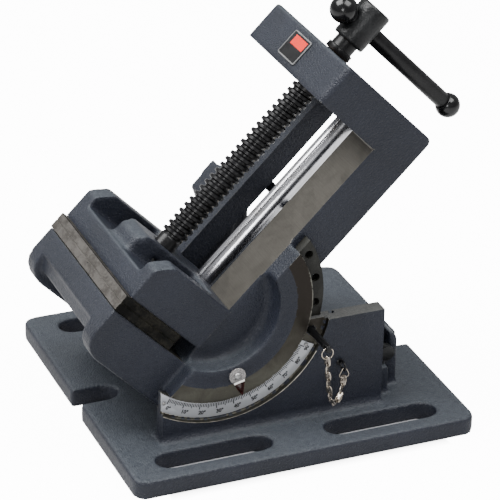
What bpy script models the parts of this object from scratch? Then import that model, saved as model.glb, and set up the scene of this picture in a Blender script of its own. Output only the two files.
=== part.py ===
"""Tilting drill-press vise on a slotted base plate, at rest with its bed tilted halfway.

Metres, +Z up. X runs along the base towards the handle, -Y is the front with the degree scale,
and the origin is the middle of the base's underside. Pieces of the bed are drawn in bed
coordinates: U runs from the tilt axis towards the handle, Y as above, W up from the bed.
"""

import math

import bmesh
import bpy
from mathutils import Matrix, Vector

# Clearances that all pieces share
GAP = 0.0003
RUNNING_GAP = 0.0004
OVERRUN = 0.004
SINK = 0.002

# Base casting: plate, slots and end notches
PLATE_LENGTH = 0.190
SHELF_WIDTH = 0.0325
PLATE_HEIGHT = 0.010
PLATE_CORNER = 0.007
PLATE_CHAMFER = 0.001
NOTCH_WIDTH = 0.014
NOTCH_REACH = 0.023
SLOT_WIDTH = 0.014
SLOT_INNER_END = 0.015
SLOT_END_SETBACK = 0.0165
SLOT_PLACE_SHARE = 0.474

# Tilt axis and rest tilt
PIVOT_SETBACK = 0.0575
PIVOT_RECESS_HEIGHT = 0.0074
REST_TILT = 45
HIGHEST_TILT = 90

# Vise body: rails, skirts and end block
BODY_WIDTH = 0.094
RAIL_TOP = -0.0104
RAIL_THICKNESS = 0.0128
RAIL_SLOT_WIDTH = 0.0418
SKIRT_THICKNESS = 0.008
SKIRT_BOTTOM = -0.0343
RIB_POSITION = 0.060
RIB_THICKNESS = 0.006
RIB_HEIGHT = 0.0030
END_BLOCK_INNER = 0.1131
END_BLOCK_THICKNESS = 0.023
END_BLOCK_TOP = 0.0341
END_BLOCK_ROUND = 0.003

# Jaws
JAW_OVERHANG = 0.003
JAW_PLATE_HEIGHT = 0.041
JAW_PLATE_THICKNESS = 0.0047
JAW_PLATE_TOP = 0.0439
JAW_PLATE_CHAMFER = 0.0004
JAW_LINE = -0.02725
JAW_STEP = 0.0004
FIXED_JAW_LENGTH = 0.0262
FIXED_JAW_BOTTOM = -0.0226
FIXED_JAW_ROUND = 0.012
FIXED_JAW_WALL = 0.008
CHEEK_THICKNESS = 0.0122
ROOF_RIDGE_SETBACK = 0.0125
ROOF_RIDGE_DROP = 0.0015
ROOF_EDGE_SETBACK = 0.0195
ROOF_EDGE_DROP = 0.0065
ROOF_THICKNESS = 0.0065
POCKET_FLOOR = -0.008

# Trunnions of the vise body and the index flange
BOSS_RADIUS = 0.0505
BOSS_RIM_WIDTH = 0.018
BOSS_MACHINED_WIDTH = 0.0087
BOSS_CAST_STEP = 0.0004
BOSS_FILLET = 0.005
BOSS_TOP = -0.0106
FLANGE_REACH = 0.0086
FLANGE_END_ANGLE = 14
FLANGE_HOLE_INSET = 0.0041
FIRST_HOLE_ANGLE = -21
HOLE_STEP_ANGLE = 15
FLANGE_HOLE_RADIUS = 0.00225

# Walls of the base that carry the trunnions
WALL_JAW_CLEARANCE = 0.0005
WALL_THICKNESS = 0.0095
WALL_LEFT_REACH = 0.0318
WALL_RIGHT_SETBACK = 0.0405
WALL_TOP_DROP = 0.0134
FOOT_FILLET = 0.004
LEDGE_THICKNESS = 0.0031
SCALE_RECESS_DEPTH = 0.0035
TOP_HOLE_SETBACK = 0.028
TOP_HOLE_RADIUS = 0.0015
TOP_HOLE_DEPTH = 0.005

# Lug of the base behind the front wall, with the rib that carries it
LUG_END_SETBACK = 0.033
LUG_LENGTH = 0.0166
LUG_WALL_SPACE = 0.0058
LUG_THICKNESS = 0.013
LUG_TOP = 0.041
LUG_ROUND = 0.0055
LUG_RIB_LENGTH = 0.032
LUG_RIB_DROP = 0.006
LUG_RIB_SLOPE = 0.006

# Clamp bolt, its washer and nut
CLAMP_BOLT_DROP = 0.0095
CLAMP_BOLT_RADIUS = 0.003
HEX_ACROSS_FLATS = 0.010
CLAMP_HEAD_RADIUS = 0.0042
CLAMP_HEAD_HEIGHT = 0.0045
CLAMP_NUT_HEIGHT = 0.005
CLAMP_BOLT_STICKOUT = 0.003
WASHER_RADIUS = 0.006
WASHER_THICKNESS = 0.0012

# Degree scale
SCALE_WIDTH = 0.0086
SCALE_RIM_SPACE = 0.0014
SCALE_THICKNESS = 0.0006
SCALE_END_ANGLE = -28
RIVET_HEAD_RADIUS = 0.0011
RIVET_HEAD_HEIGHT = 0.0005
RIVET_SHANK_RADIUS = 0.0006
RIVET_LENGTH = 0.0022
RIVET_END_SETBACK = 0.0014

# Pointer
POINTER_ANGLE = -121
POINTER_SCREW_INSET = 0.0126
POINTER_DISC_RADIUS = 0.0046
POINTER_THICKNESS = 0.0007
POINTER_TIP_WIDTH = 0.0005
POINTER_BODY_WIDTH = 0.0058
POINTER_SCREW_HEAD_RADIUS = 0.0020
POINTER_SCREW_HEAD_HEIGHT = 0.0010
POINTER_SCREW_SHANK_RADIUS = 0.0011
POINTER_SCREW_LENGTH = 0.006

# Moving jaw
MOVING_JAW_BACK = 0.003
MOVING_JAW_DROP = 0.0024
MOVING_JAW_FRONT_WALL = 0.0123
MOVING_JAW_FLOOR = 0.0085
MOVING_JAW_BACK_TOP = 0.033
MOVING_JAW_SLOPE = 0.007
MOVING_JAW_ROUND = 0.004
MOVING_CHEEK_THICKNESS = 0.011
JAW_BOSS_TOP_WIDTH = 0.023
JAW_BOSS_FOOT_WIDTH = 0.030
JAW_BOSS_DROP = 0.0035
TONGUE_KEEL_DEPTH = 0.0168
TONGUE_KEEL_WIDTH = 0.018
KEEPER_INNER_Y = 0.0098
KEEPER_SKIRT_SPACE = 0.001
KEEPER_THICKNESS = 0.0040
KEEPER_LENGTH = 0.021
KEEPER_SCREW_Y = 0.0152
KEEPER_SCREW_SPACING = 0.012
KEEPER_SCREW_HEAD_RADIUS = 0.0038
KEEPER_SCREW_HEAD_HEIGHT = 0.0024
KEEPER_SCREW_SHANK_RADIUS = 0.002
KEEPER_SCREW_LENGTH = 0.011
HEX_SOCKET_SHARE = 0.5

# Screws of the jaw plates
PLATE_SCREW_Y = 0.030
PLATE_SCREW_HEAD_RADIUS = 0.0045
PLATE_SCREW_HEAD_HEIGHT = 0.0027
PLATE_SCREW_SHANK_RADIUS = 0.0025
PLATE_SCREW_LENGTH = 0.0112
PLATE_SCREW_INSET = 0.0002

# Guide rod
ROD_W = -0.0183
ROD_RADIUS = 0.0055
ROD_SEAT_DEPTH = 0.013
ROD_END_DEPTH = 0.017
ROD_SEAT_WIDTH = 0.020
ROD_SEAT_WALL = 0.0042
ROD_SEAT_LENGTH = 0.022

# Spindle, its nut and what holds it in the moving jaw
SPINDLE_W = 0.0148
THREAD_PITCH = 0.004
THREAD_CREST_RADIUS = 0.007
THREAD_ROOT_RADIUS = 0.0052
JOURNAL_RADIUS = 0.006
JOURNAL_LENGTH = 0.0169
JOURNAL_STICKOUT = 0.0055
GROOVE_RADIUS = 0.0046
GROOVE_WIDTH = 0.0036
GROOVE_PLACE = 0.0085
RETAINING_PIN_RADIUS = 0.0015
RETAINING_PIN_LENGTH = 0.022
THRUST_BUTTON_RADIUS = 0.0055
THRUST_BUTTON_THICKNESS = 0.003
COLLAR_RADIUS = 0.0075
COLLAR_THICKNESS = 0.0036
NECK_RADIUS = 0.00635
NECK_LENGTH = 0.005
HEAD_RADIUS = 0.0092
HEAD_LENGTH = 0.0228
HEAD_CHAMFER = 0.0008
NUT_RADIUS = 0.011

# Handle
BAR_RADIUS = 0.0045
BAR_HOLE_RADIUS = 0.0048
BAR_PLACE_SHARE = 0.474
UPPER_BALL_RADIUS = 0.0075
LOWER_BALL_RADIUS = 0.0068
UPPER_BALL_HEIGHT = 0.0148
LOWER_BALL_DROP = 0.0745
SPIGOT_RADIUS = 0.0025
SPIGOT_LENGTH = 0.005

# Index pin, its split ring, the chain and the eye screw
PIN_RADIUS = 0.002
PIN_HOLE_RADIUS = 0.0023
PIN_CHAMFER = 0.0004
PIN_STANDOFF = 0.00015
PIN_LENGTH = 0.02595
PIN_TANG_THICKNESS = 0.0026
PIN_TANG_LENGTH = 0.0042
PIN_CROSS_HOLE_RADIUS = 0.00095
PIN_CROSS_HOLE_INSET = 0.002
WIRE_DIAMETER = 0.0009
SPLIT_RING_RADIUS = 0.0032
SPLIT_RING_SAG = 0.00014
LINK_INNER_LENGTH = 0.0052
LINK_SLACK = 0.0006
LINK_INNER_WIDTH = 0.0022
LINK_COUNT = 11
CHAIN_RING_CORNER = 0.0015
CHAIN_RING_HALF_BASE = 0.0012
CHAIN_RING_DROP = 0.0024
EYE_REACH = 0.0665
EYE_DROP = 0.0396
EYE_WIRE_DIAMETER = 0.0014
EYE_INNER_LENGTH = 0.0052
EYE_INNER_HEIGHT = 0.003
EYE_COLLAR_RADIUS = 0.0022
EYE_COLLAR_THICKNESS = 0.0009
EYE_SHANK_RADIUS = 0.0012
EYE_SHANK_DEPTH = 0.007

# Badge plate, left bare
BADGE_LENGTH = 0.015
BADGE_WIDTH = 0.020
BADGE_THICKNESS = 0.0006
BADGE_CORNER = 0.0012
BADGE_CENTRE_Y = 0.0025

# Facets of round pieces
FINE_SIDES = 64
ROUND_SIDES = 28
SMALL_SIDES = 12
ARC_STEPS = 4
THREAD_SIDES = 10
THREAD_PROFILE_SHARES = ((0.0, 0.0), (0.34, 0.0), (0.5, 1.0), (0.84, 1.0))

# Sizes that follow from those above
JAW_PLATE_WIDTH = BODY_WIDTH + 2 * JAW_OVERHANG
JAW_CASTING_WIDTH = JAW_PLATE_WIDTH - 2 * GAP
WALL_INNER_Y = JAW_PLATE_WIDTH / 2 + WALL_JAW_CLEARANCE
WALL_OUTER_Y = WALL_INNER_Y + WALL_THICKNESS
PLATE_DEPTH = 2 * (WALL_OUTER_Y + SHELF_WIDTH)
SLOT_CENTRE_Y = WALL_OUTER_Y + SHELF_WIDTH * SLOT_PLACE_SHARE
SLOT_OUTER_END = PLATE_LENGTH / 2 - SLOT_END_SETBACK
LEDGE_OUTER_Y = WALL_OUTER_Y - SCALE_RECESS_DEPTH
LEDGE_INNER_Y = LEDGE_OUTER_Y - LEDGE_THICKNESS
FLANGE_OUTER_Y = LEDGE_INNER_Y - GAP
FLANGE_INNER_Y = BODY_WIDTH / 2
BOSS_INNER_RADIUS = BOSS_RADIUS - BOSS_RIM_WIDTH
BOSS_CAST_RADIUS = BOSS_RADIUS - BOSS_MACHINED_WIDTH
FLANGE_RADIUS = BOSS_RADIUS + FLANGE_REACH
HOLE_CIRCLE_RADIUS = FLANGE_RADIUS - FLANGE_HOLE_INSET
BOSS_FACE_Y = WALL_OUTER_Y - RUNNING_GAP
BORE_RADIUS = BOSS_RADIUS + RUNNING_GAP
FLANGE_RECESS_RADIUS = FLANGE_RADIUS + RUNNING_GAP
SCALE_INNER_RADIUS = BORE_RADIUS + GAP
SCALE_OUTER_RADIUS = SCALE_INNER_RADIUS + SCALE_WIDTH
SCALE_RECESS_RADIUS = SCALE_OUTER_RADIUS + SCALE_RIM_SPACE
SCALE_FACE_Y = LEDGE_OUTER_Y + GAP + SCALE_THICKNESS
RIVET_CIRCLE_RADIUS = (BORE_RADIUS + SCALE_OUTER_RADIUS) / 2
POINTER_SCREW_CIRCLE_RADIUS = BOSS_RADIUS - POINTER_SCREW_INSET
POINTER_TIP_CIRCLE_RADIUS = BOSS_RADIUS - GAP
PIVOT_X = PIVOT_SETBACK - PLATE_LENGTH / 2
PIVOT_Z = PLATE_HEIGHT + PIVOT_RECESS_HEIGHT + SCALE_RECESS_RADIUS
WALL_LEFT = PIVOT_X - WALL_LEFT_REACH
WALL_RIGHT = PLATE_LENGTH / 2 - WALL_RIGHT_SETBACK
WALL_TOP = PIVOT_Z - WALL_TOP_DROP
TOP_HOLE_X = WALL_RIGHT - TOP_HOLE_SETBACK
LUG_CENTRE_X = PLATE_LENGTH / 2 - LUG_END_SETBACK
LUG_OUTER_Y = WALL_INNER_Y - LUG_WALL_SPACE
CLAMP_BOLT_Z = LUG_TOP - CLAMP_BOLT_DROP
CLAMP_WASHER_FACE = -LUG_OUTER_Y + LUG_THICKNESS + GAP
CLAMP_NUT_END = CLAMP_WASHER_FACE + WASHER_THICKNESS + GAP + CLAMP_NUT_HEIGHT
LUG_RIB_LEFT = LUG_CENTRE_X - LUG_RIB_LENGTH
LUG_RIB_TOP = CLAMP_BOLT_Z - LUG_RIB_DROP
END_BLOCK_OUTER = END_BLOCK_INNER + END_BLOCK_THICKNESS
RAIL_BOTTOM = RAIL_TOP - RAIL_THICKNESS
FIXED_PLATE_FRONT = JAW_LINE - GAP / 2
FIXED_PLATE_BACK = FIXED_PLATE_FRONT - JAW_PLATE_THICKNESS
FIXED_JAW_FACE = FIXED_PLATE_BACK - GAP
FIXED_JAW_END = FIXED_JAW_FACE - FIXED_JAW_LENGTH
FIXED_JAW_TOP = JAW_PLATE_TOP - JAW_STEP
MOVING_PLATE_FRONT = JAW_LINE + GAP / 2
MOVING_PLATE_BACK = MOVING_PLATE_FRONT + JAW_PLATE_THICKNESS
MOVING_JAW_FACE = MOVING_PLATE_BACK + GAP
MOVING_JAW_TOP = JAW_PLATE_TOP - MOVING_JAW_DROP
MOVING_JAW_BOTTOM = RAIL_TOP + GAP
JAW_PLATE_BOTTOM = JAW_PLATE_TOP - JAW_PLATE_HEIGHT
PLATE_SCREW_W = (JAW_PLATE_TOP + JAW_PLATE_BOTTOM) / 2
TONGUE_BOTTOM = RAIL_BOTTOM - GAP
KEEL_BOTTOM = RAIL_TOP - TONGUE_KEEL_DEPTH
KEEPER_TOP = TONGUE_BOTTOM - GAP
KEEPER_OUTER_Y = BODY_WIDTH / 2 - SKIRT_THICKNESS - KEEPER_SKIRT_SPACE
KEEPER_BOTTOM = KEEPER_TOP - KEEPER_THICKNESS
KEEPER_CENTRE_U = (MOVING_JAW_FACE + MOVING_JAW_BACK) / 2
JOURNAL_END = MOVING_JAW_BACK + JOURNAL_STICKOUT
JOURNAL_START = JOURNAL_END - JOURNAL_LENGTH - JOURNAL_STICKOUT
THRUST_FACE = JOURNAL_START - GAP
THRUST_BACK = THRUST_FACE - THRUST_BUTTON_THICKNESS
GROOVE_U = JOURNAL_START + GROOVE_PLACE
RETAINING_PIN_OFFSET = GROOVE_RADIUS + GAP + RETAINING_PIN_RADIUS
COLLAR_START = END_BLOCK_OUTER + GAP
NECK_START = COLLAR_START + COLLAR_THICKNESS
HEAD_START = NECK_START + NECK_LENGTH
HEAD_END = HEAD_START + HEAD_LENGTH
BAR_U = HEAD_START + HEAD_LENGTH * BAR_PLACE_SHARE
NUT_BORE_RADIUS = THREAD_CREST_RADIUS + GAP
PIN_TIP_Y = LEDGE_INNER_Y + PIN_STANDOFF
PIN_OUTER_Y = PIN_TIP_Y + PIN_LENGTH
EYE_X = PIVOT_X + EYE_REACH
EYE_Z = PIVOT_Z - EYE_DROP
ROD_START = FIXED_JAW_FACE - ROD_SEAT_DEPTH
ROD_END = END_BLOCK_INNER + ROD_END_DEPTH
ROD_BORE_RADIUS = ROD_RADIUS + GAP
LINK_CENTRE_LENGTH = LINK_INNER_LENGTH + WIRE_DIAMETER
LINK_HALF_WIDTH = (LINK_INNER_WIDTH + WIRE_DIAMETER) / 2
LINK_PITCH = LINK_INNER_LENGTH - LINK_SLACK

# Frames in which the pieces are drawn
BASE = Matrix.Identity(4)
PIVOT = Matrix.Translation((PIVOT_X, 0, PIVOT_Z))
BED = PIVOT @ Matrix.Rotation(-math.radians(REST_TILT), 4, "Y")
SPINDLE_LINE = BED @ Matrix.Translation((0, 0, SPINDLE_W))
ALONG_X = Matrix.Rotation(math.radians(90), 4, "Y")
ALONG_Y = Matrix.Rotation(-math.radians(90), 4, "X")
ALONG_Z = Matrix.Identity(4)
AXIS_TURNS = {"x": ALONG_X, "y": ALONG_Y, "z": ALONG_Z}
PLANES = {
    "xy": (ALONG_Z, 1),
    "xz": (Matrix.Rotation(math.radians(90), 4, "X"), -1),
    "yz": (Matrix(((0, 0, 1, 0), (1, 0, 0, 0), (0, 1, 0, 0), (0, 0, 0, 1))), 1),
}

# Colours as linear red, green and blue, with metallic and roughness
CAST_PAINT = ((0.045, 0.054, 0.070), 0.1, 0.55)
MACHINED_IRON = ((0.17, 0.155, 0.14), 0.9, 0.35)
BLACK_OXIDE = ((0.012, 0.012, 0.013), 0.8, 0.35)
CHROME = ((0.62, 0.62, 0.64), 1.0, 0.08)
BRIGHT_STEEL = ((0.45, 0.45, 0.46), 1.0, 0.25)
BRONZE = ((0.38, 0.22, 0.08), 1.0, 0.35)
SCALE_SILVER = ((0.62, 0.64, 0.66), 0.7, 0.35)
CLEAR_PLASTIC = ((0.75, 0.72, 0.72), 0.0, 0.15)
BADGE_BLACK = ((0.01, 0.01, 0.01), 0.1, 0.3)


def clear_scene():
    """Removes whatever the startup scene holds."""
    for thing in list(bpy.data.objects):
        bpy.data.objects.remove(thing)


def new_collection(name):
    """Adds a collection to the scene and returns it."""
    collection = bpy.data.collections.new(name)
    bpy.context.scene.collection.children.link(collection)
    return collection


clear_scene()
PARTS = new_collection("angle_vise")
CUTTERS = new_collection("angle_vise_cutters")
HELPERS = new_collection("angle_vise_bodies")


def place(name, mesh, frame):
    """Links a mesh as an object of the part, with its origin at the frame."""
    piece = bpy.data.objects.new(name, mesh)
    piece.matrix_world = frame
    PARTS.objects.link(piece)
    return piece


def from_bmesh(name, shape, frame):
    """Turns a finished bmesh into a placed object."""
    bmesh.ops.recalc_face_normals(shape, faces=shape.faces)
    mesh = bpy.data.meshes.new(name)
    shape.to_mesh(mesh)
    shape.free()
    return place(name, mesh, frame)


def box(name, frame, x_span, y_span, z_span):
    """Makes a block between pairs of planes."""
    spans = (x_span, y_span, z_span)
    centre = Vector([sum(span) / 2 for span in spans])
    size = [abs(span[1] - span[0]) for span in spans]
    shape = bmesh.new()
    matrix = Matrix.Translation(centre) @ Matrix.Diagonal((*size, 1))
    bmesh.ops.create_cube(shape, size=1, matrix=matrix)
    return from_bmesh(name, shape, frame)


def lay_along(axis, centre, middle):
    """Places local Z on the axis through the centre, which names the two other coordinates."""
    spots = {
        "x": (middle, *centre),
        "y": (centre[0], middle, centre[1]),
        "z": (*centre, middle),
    }
    return Matrix.Translation(spots[axis]) @ AXIS_TURNS[axis]


def rod(name, frame, axis, centre, radius, span, sides=ROUND_SIDES):
    """Makes a straight round bar between two planes across the axis."""
    low, high = span
    shape = bmesh.new()
    bmesh.ops.create_cone(
        shape,
        cap_ends=True,
        segments=sides,
        radius1=radius,
        radius2=radius,
        depth=high - low,
        matrix=lay_along(axis, centre, (low + high) / 2),
    )
    return from_bmesh(name, shape, frame)


def ball(name, frame, centre, radius, sides):
    """Makes a sphere."""
    shape = bmesh.new()
    bmesh.ops.create_uvsphere(
        shape,
        u_segments=sides,
        v_segments=sides // 2,
        radius=radius,
        matrix=Matrix.Translation(centre),
    )
    return from_bmesh(name, shape, frame)


def curve_mesh(name, curve):
    """Turns a curve into a closed mesh, with its caps welded, and removes the curve."""
    drawn = bpy.data.objects.new(name, curve)
    PARTS.objects.link(drawn)
    bpy.context.view_layer.update()
    graph = bpy.context.evaluated_depsgraph_get()
    mesh = bpy.data.meshes.new_from_object(drawn.evaluated_get(graph))
    bpy.data.objects.remove(drawn)
    bpy.data.curves.remove(curve)
    shape = bmesh.new()
    shape.from_mesh(mesh)
    bmesh.ops.remove_doubles(shape, verts=shape.verts, dist=GAP / ROUND_SIDES)
    bmesh.ops.recalc_face_normals(shape, faces=shape.faces)
    shape.to_mesh(mesh)
    shape.free()
    return mesh


def add_spline(curve, points, closed=True):
    """Adds a straight-sided spline through the points."""
    spline = curve.splines.new("POLY")
    spline.points.add(len(points) - 1)
    for point, spot in zip(spline.points, points):
        point.co = (*spot, 0, 1) if len(spot) == 2 else (*spot, 1)
    spline.use_cyclic_u = closed


def extruded(name, frame, plane, outline, span):
    """Fills a flat outline and extrudes it between two planes."""
    turn, sense = PLANES[plane]
    low, high = sorted(sense * value for value in span)
    curve = bpy.data.curves.new(name, "CURVE")
    curve.dimensions = "2D"
    curve.fill_mode = "BOTH"
    curve.extrude = (high - low) / 2
    add_spline(curve, outline)
    mesh = curve_mesh(name, curve)
    mesh.transform(turn @ Matrix.Translation((0, 0, (low + high) / 2)))
    return place(name, mesh, frame)


def wire(name, frame, points, diameter, closed=True):
    """Makes a round wire along the points."""
    curve = bpy.data.curves.new(name, "CURVE")
    curve.dimensions = "3D"
    curve.bevel_depth = diameter / 2
    curve.bevel_resolution = 1
    curve.use_fill_caps = not closed
    add_spline(curve, points, closed)
    return place(name, curve_mesh(name, curve), frame)


def turned(name, frame, profile, sides):
    """Turns a profile of (radius, height) about local Z, listed down its outer side."""
    mesh = bpy.data.meshes.new(name)
    closed = profile[0][0] > 0
    count = len(profile)
    edges = [(i, i + 1) for i in range(count - 1)]
    if closed:
        edges.append((count - 1, 0))
    mesh.from_pydata([(radius, 0, height) for radius, height in profile], edges, [])
    piece = place(name, mesh, frame)
    screw = piece.modifiers.new("turn", "SCREW")
    screw.axis = "Z"
    screw.angle = math.radians(360)
    screw.steps = sides
    screw.render_steps = sides
    screw.use_merge_vertices = True
    screw.merge_threshold = GAP / ROUND_SIDES
    return piece


def boolean(target, tools, operation):
    """Adds one Boolean for each tool, and keeps the tool as a hidden helper."""
    for tool in tools:
        PARTS.objects.unlink(tool)
        CUTTERS.objects.link(tool)
        tool.hide_render = True
        tool.display_type = "WIRE"
        step = target.modifiers.new(tool.name, "BOOLEAN")
        step.operation = operation
        step.object = tool
        step.solver = "EXACT"
    return target


def cut(target, *tools):
    """Takes the tools out of the target."""
    return boolean(target, tools, "DIFFERENCE")


def join(target, *tools):
    """Adds the tools to the target."""
    return boolean(target, tools, "UNION")


def bevel(piece, width, segments=1):
    """Breaks the sharp edges of a piece."""
    step = piece.modifiers.new("broken_edges", "BEVEL")
    step.width = width
    step.segments = segments
    step.limit_method = "ANGLE"
    step.angle_limit = math.radians(40)
    return piece


def arc(centre, radius, start, end, steps=ARC_STEPS):
    """Lists points along an arc, angles in degrees."""
    angles = [math.radians(start + (end - start) * i / steps) for i in range(steps + 1)]
    return [(centre[0] + radius * math.cos(a), centre[1] + radius * math.sin(a)) for a in angles]


def rounded(corners, steps=ARC_STEPS):
    """Lists the outline through (x, y, radius) corners, each rounded with its radius."""
    outline = []
    for i, (x, y, radius) in enumerate(corners):
        corner = Vector((x, y))
        if not radius:
            outline.append(tuple(corner))
            continue
        back = (Vector(corners[i - 1][:2]) - corner).normalized()
        ahead = (Vector(corners[(i + 1) % len(corners)][:2]) - corner).normalized()
        half = back.angle(ahead) / 2
        centre = corner + (back + ahead).normalized() * radius / math.sin(half)
        first = corner + back * radius / math.tan(half) - centre
        turn = -math.copysign(math.pi - 2 * half, back.cross(ahead))
        for step in range(steps + 1):
            outline.append(tuple(centre + Matrix.Rotation(turn * step / steps, 2) @ first))
    return outline


def mirrored_pair(values):
    """Gives the span on the front (-Y) side and on the rear side."""
    low, high = values
    return ((-high, -low), (low, high))


def polar(radius, degrees):
    """Gives the X and Z of a point about the tilt axis."""
    angle = math.radians(degrees)
    return radius * math.cos(angle), radius * math.sin(angle)


def stadium(half_length, half_width, steps=ARC_STEPS):
    """Lists the outline of a slot with round ends, centred and lying along X."""
    reach = half_length - half_width
    right = arc((reach, 0), half_width, -90, 90, steps)
    left = arc((-reach, 0), half_width, 90, 270, steps)
    return right + left


def shifted(outline, x, y):
    """Moves an outline."""
    return [(point[0] + x, point[1] + y) for point in outline]


def hex_outline(across_flats):
    """Lists a hexagon's corners."""
    radius = across_flats / math.sqrt(3)
    return arc((0, 0), radius, 0, 300, 5)


def base_plate():
    """Makes the plate with its slots and notches still to be cut."""
    half_x, half_y = PLATE_LENGTH / 2, PLATE_DEPTH / 2
    corners = ((half_x, half_y), (-half_x, half_y), (-half_x, -half_y), (half_x, -half_y))
    outline = rounded([(x, y, PLATE_CORNER) for x, y in corners])
    plate = extruded("base_casting", BASE, "xy", outline, (0, PLATE_HEIGHT))
    return bevel(plate, PLATE_CHAMFER)


def base_wall(side):
    """Makes one wall, with the soft fillets at its foot, still without its bore."""
    foot = PLATE_HEIGHT + FOOT_FILLET
    floor = PLATE_HEIGHT - SINK
    inner = arc((WALL_INNER_Y - FOOT_FILLET, foot), FOOT_FILLET, -90, 0)
    outer = arc((WALL_OUTER_Y + FOOT_FILLET, foot), FOOT_FILLET, 180, 270)
    outline = [(WALL_INNER_Y - FOOT_FILLET, floor)] + inner
    outline += [(WALL_INNER_Y, WALL_TOP), (WALL_OUTER_Y, WALL_TOP)] + outer
    outline += [(WALL_OUTER_Y + FOOT_FILLET, floor)]
    outline = [(side * y, z) for y, z in outline]
    return extruded("wall", BASE, "yz", outline, (WALL_LEFT, WALL_RIGHT))


def base_lug():
    """Makes the lug with round top corners."""
    left = LUG_CENTRE_X - LUG_LENGTH / 2
    right = LUG_CENTRE_X + LUG_LENGTH / 2
    floor = PLATE_HEIGHT - SINK
    outline = rounded(
        [(left, floor, 0), (right, floor, 0), (right, LUG_TOP, LUG_ROUND), (left, LUG_TOP, LUG_ROUND)]
    )
    return extruded("lug", BASE, "xz", outline, (-LUG_OUTER_Y, LUG_THICKNESS - LUG_OUTER_Y))


def base_rib():
    """Makes the low rib that ties the lug to the front wall."""
    floor = PLATE_HEIGHT - SINK
    left = LUG_RIB_LEFT
    outline = [
        (left, floor),
        (LUG_CENTRE_X, floor),
        (LUG_CENTRE_X, LUG_RIB_TOP),
        (left + LUG_RIB_SLOPE, LUG_RIB_TOP),
        (left, LUG_RIB_TOP - LUG_RIB_SLOPE),
    ]
    span = (-WALL_INNER_Y - SINK, LUG_THICKNESS - LUG_OUTER_Y - GAP)
    return extruded("rib", BASE, "xz", outline, span)


def trunnion_bore():
    """Makes the stepped bore of both walls about the tilt axis."""
    edge = WALL_OUTER_Y + OVERRUN
    profile = [
        (0, edge),
        (SCALE_RECESS_RADIUS, edge),
        (SCALE_RECESS_RADIUS, LEDGE_OUTER_Y),
        (BORE_RADIUS, LEDGE_OUTER_Y),
        (BORE_RADIUS, LEDGE_INNER_Y),
        (FLANGE_RECESS_RADIUS, LEDGE_INNER_Y),
    ]
    profile += [(radius, -height) for radius, height in reversed(profile)]
    return turned("trunnion_bore", PIVOT @ ALONG_Y, profile, FINE_SIDES)


def base_slots():
    """Makes the cutters of the four bolt slots and the two end notches."""
    cutters = []
    span = (-OVERRUN, PLATE_HEIGHT + OVERRUN)
    half_length = (SLOT_OUTER_END - SLOT_INNER_END) / 2
    centre_x = (SLOT_OUTER_END + SLOT_INNER_END) / 2
    for x_side in (-1, 1):
        for y_side in (-1, 1):
            outline = stadium(half_length, SLOT_WIDTH / 2)
            outline = shifted(outline, x_side * centre_x, y_side * SLOT_CENTRE_Y)
            cutters.append(extruded("slot", BASE, "xy", outline, span))
        inner = PLATE_LENGTH / 2 - NOTCH_REACH
        outer = PLATE_LENGTH / 2 + OVERRUN + NOTCH_WIDTH
        outline = shifted(stadium((outer - inner) / 2, NOTCH_WIDTH / 2), (outer + inner) / 2, 0)
        outline = [(x_side * x, y) for x, y in outline]
        cutters.append(extruded("notch", BASE, "xy", outline, span))
    return cutters


def lug_slot():
    """Makes the open-top slot of the lug, which the clamp bolt lies in."""
    half = CLAMP_BOLT_RADIUS + GAP
    top = LUG_TOP + OVERRUN
    bottom = arc((LUG_CENTRE_X, CLAMP_BOLT_Z), half, 180, 360)
    outline = bottom + [(LUG_CENTRE_X + half, top), (LUG_CENTRE_X - half, top)]
    span = (-LUG_OUTER_Y - OVERRUN, LUG_THICKNESS - LUG_OUTER_Y + OVERRUN)
    return extruded("lug_slot", BASE, "xz", outline, span)


def base_casting():
    """Makes the base: plate, two bored walls, a slotted lug."""
    base = base_plate()
    join(base, base_wall(-1), base_wall(1))
    join(base, base_lug())
    join(base, base_rib())
    cut(base, trunnion_bore(), lug_slot(), *base_slots())
    pin_x, pin_z = polar(HOLE_CIRCLE_RADIUS, FIRST_HOLE_ANGLE)
    pin_span = (-LEDGE_OUTER_Y - OVERRUN, -LEDGE_INNER_Y + OVERRUN)
    pin_spot = (PIVOT_X + pin_x, PIVOT_Z + pin_z)
    cut(base, rod("pin_hole", BASE, "y", pin_spot, PIN_HOLE_RADIUS, pin_span, SMALL_SIDES))
    eye_span = (-WALL_OUTER_Y - OVERRUN, -WALL_OUTER_Y + EYE_SHANK_DEPTH + GAP)
    eye_radius = EYE_SHANK_RADIUS + GAP
    cut(base, rod("eye_hole", BASE, "y", (EYE_X, EYE_Z), eye_radius, eye_span, SMALL_SIDES))
    top_y = -(WALL_INNER_Y + LEDGE_INNER_Y + TOP_HOLE_RADIUS) / 2
    top_span = (WALL_TOP - TOP_HOLE_DEPTH, WALL_TOP + OVERRUN)
    cut(base, rod("top_hole", BASE, "z", (TOP_HOLE_X, top_y), TOP_HOLE_RADIUS, top_span, SMALL_SIDES))
    for angle in rivet_angles():
        cut(base, rivet_bore(angle))
    return base


def rivet_angles():
    """Gives where the scale's two rivets stand, each a setback from its end."""
    left = GAP - WALL_LEFT_REACH + RIVET_END_SETBACK
    turn = math.degrees(RIVET_END_SETBACK / RIVET_CIRCLE_RADIUS)
    return -math.degrees(math.acos(left / RIVET_CIRCLE_RADIUS)), SCALE_END_ANGLE - turn


def rivet_spot(angle):
    """Gives the place of a scale rivet, in the middle of the scale's width."""
    x, z = polar(RIVET_CIRCLE_RADIUS, angle)
    return PIVOT_X + x, PIVOT_Z + z


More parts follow.
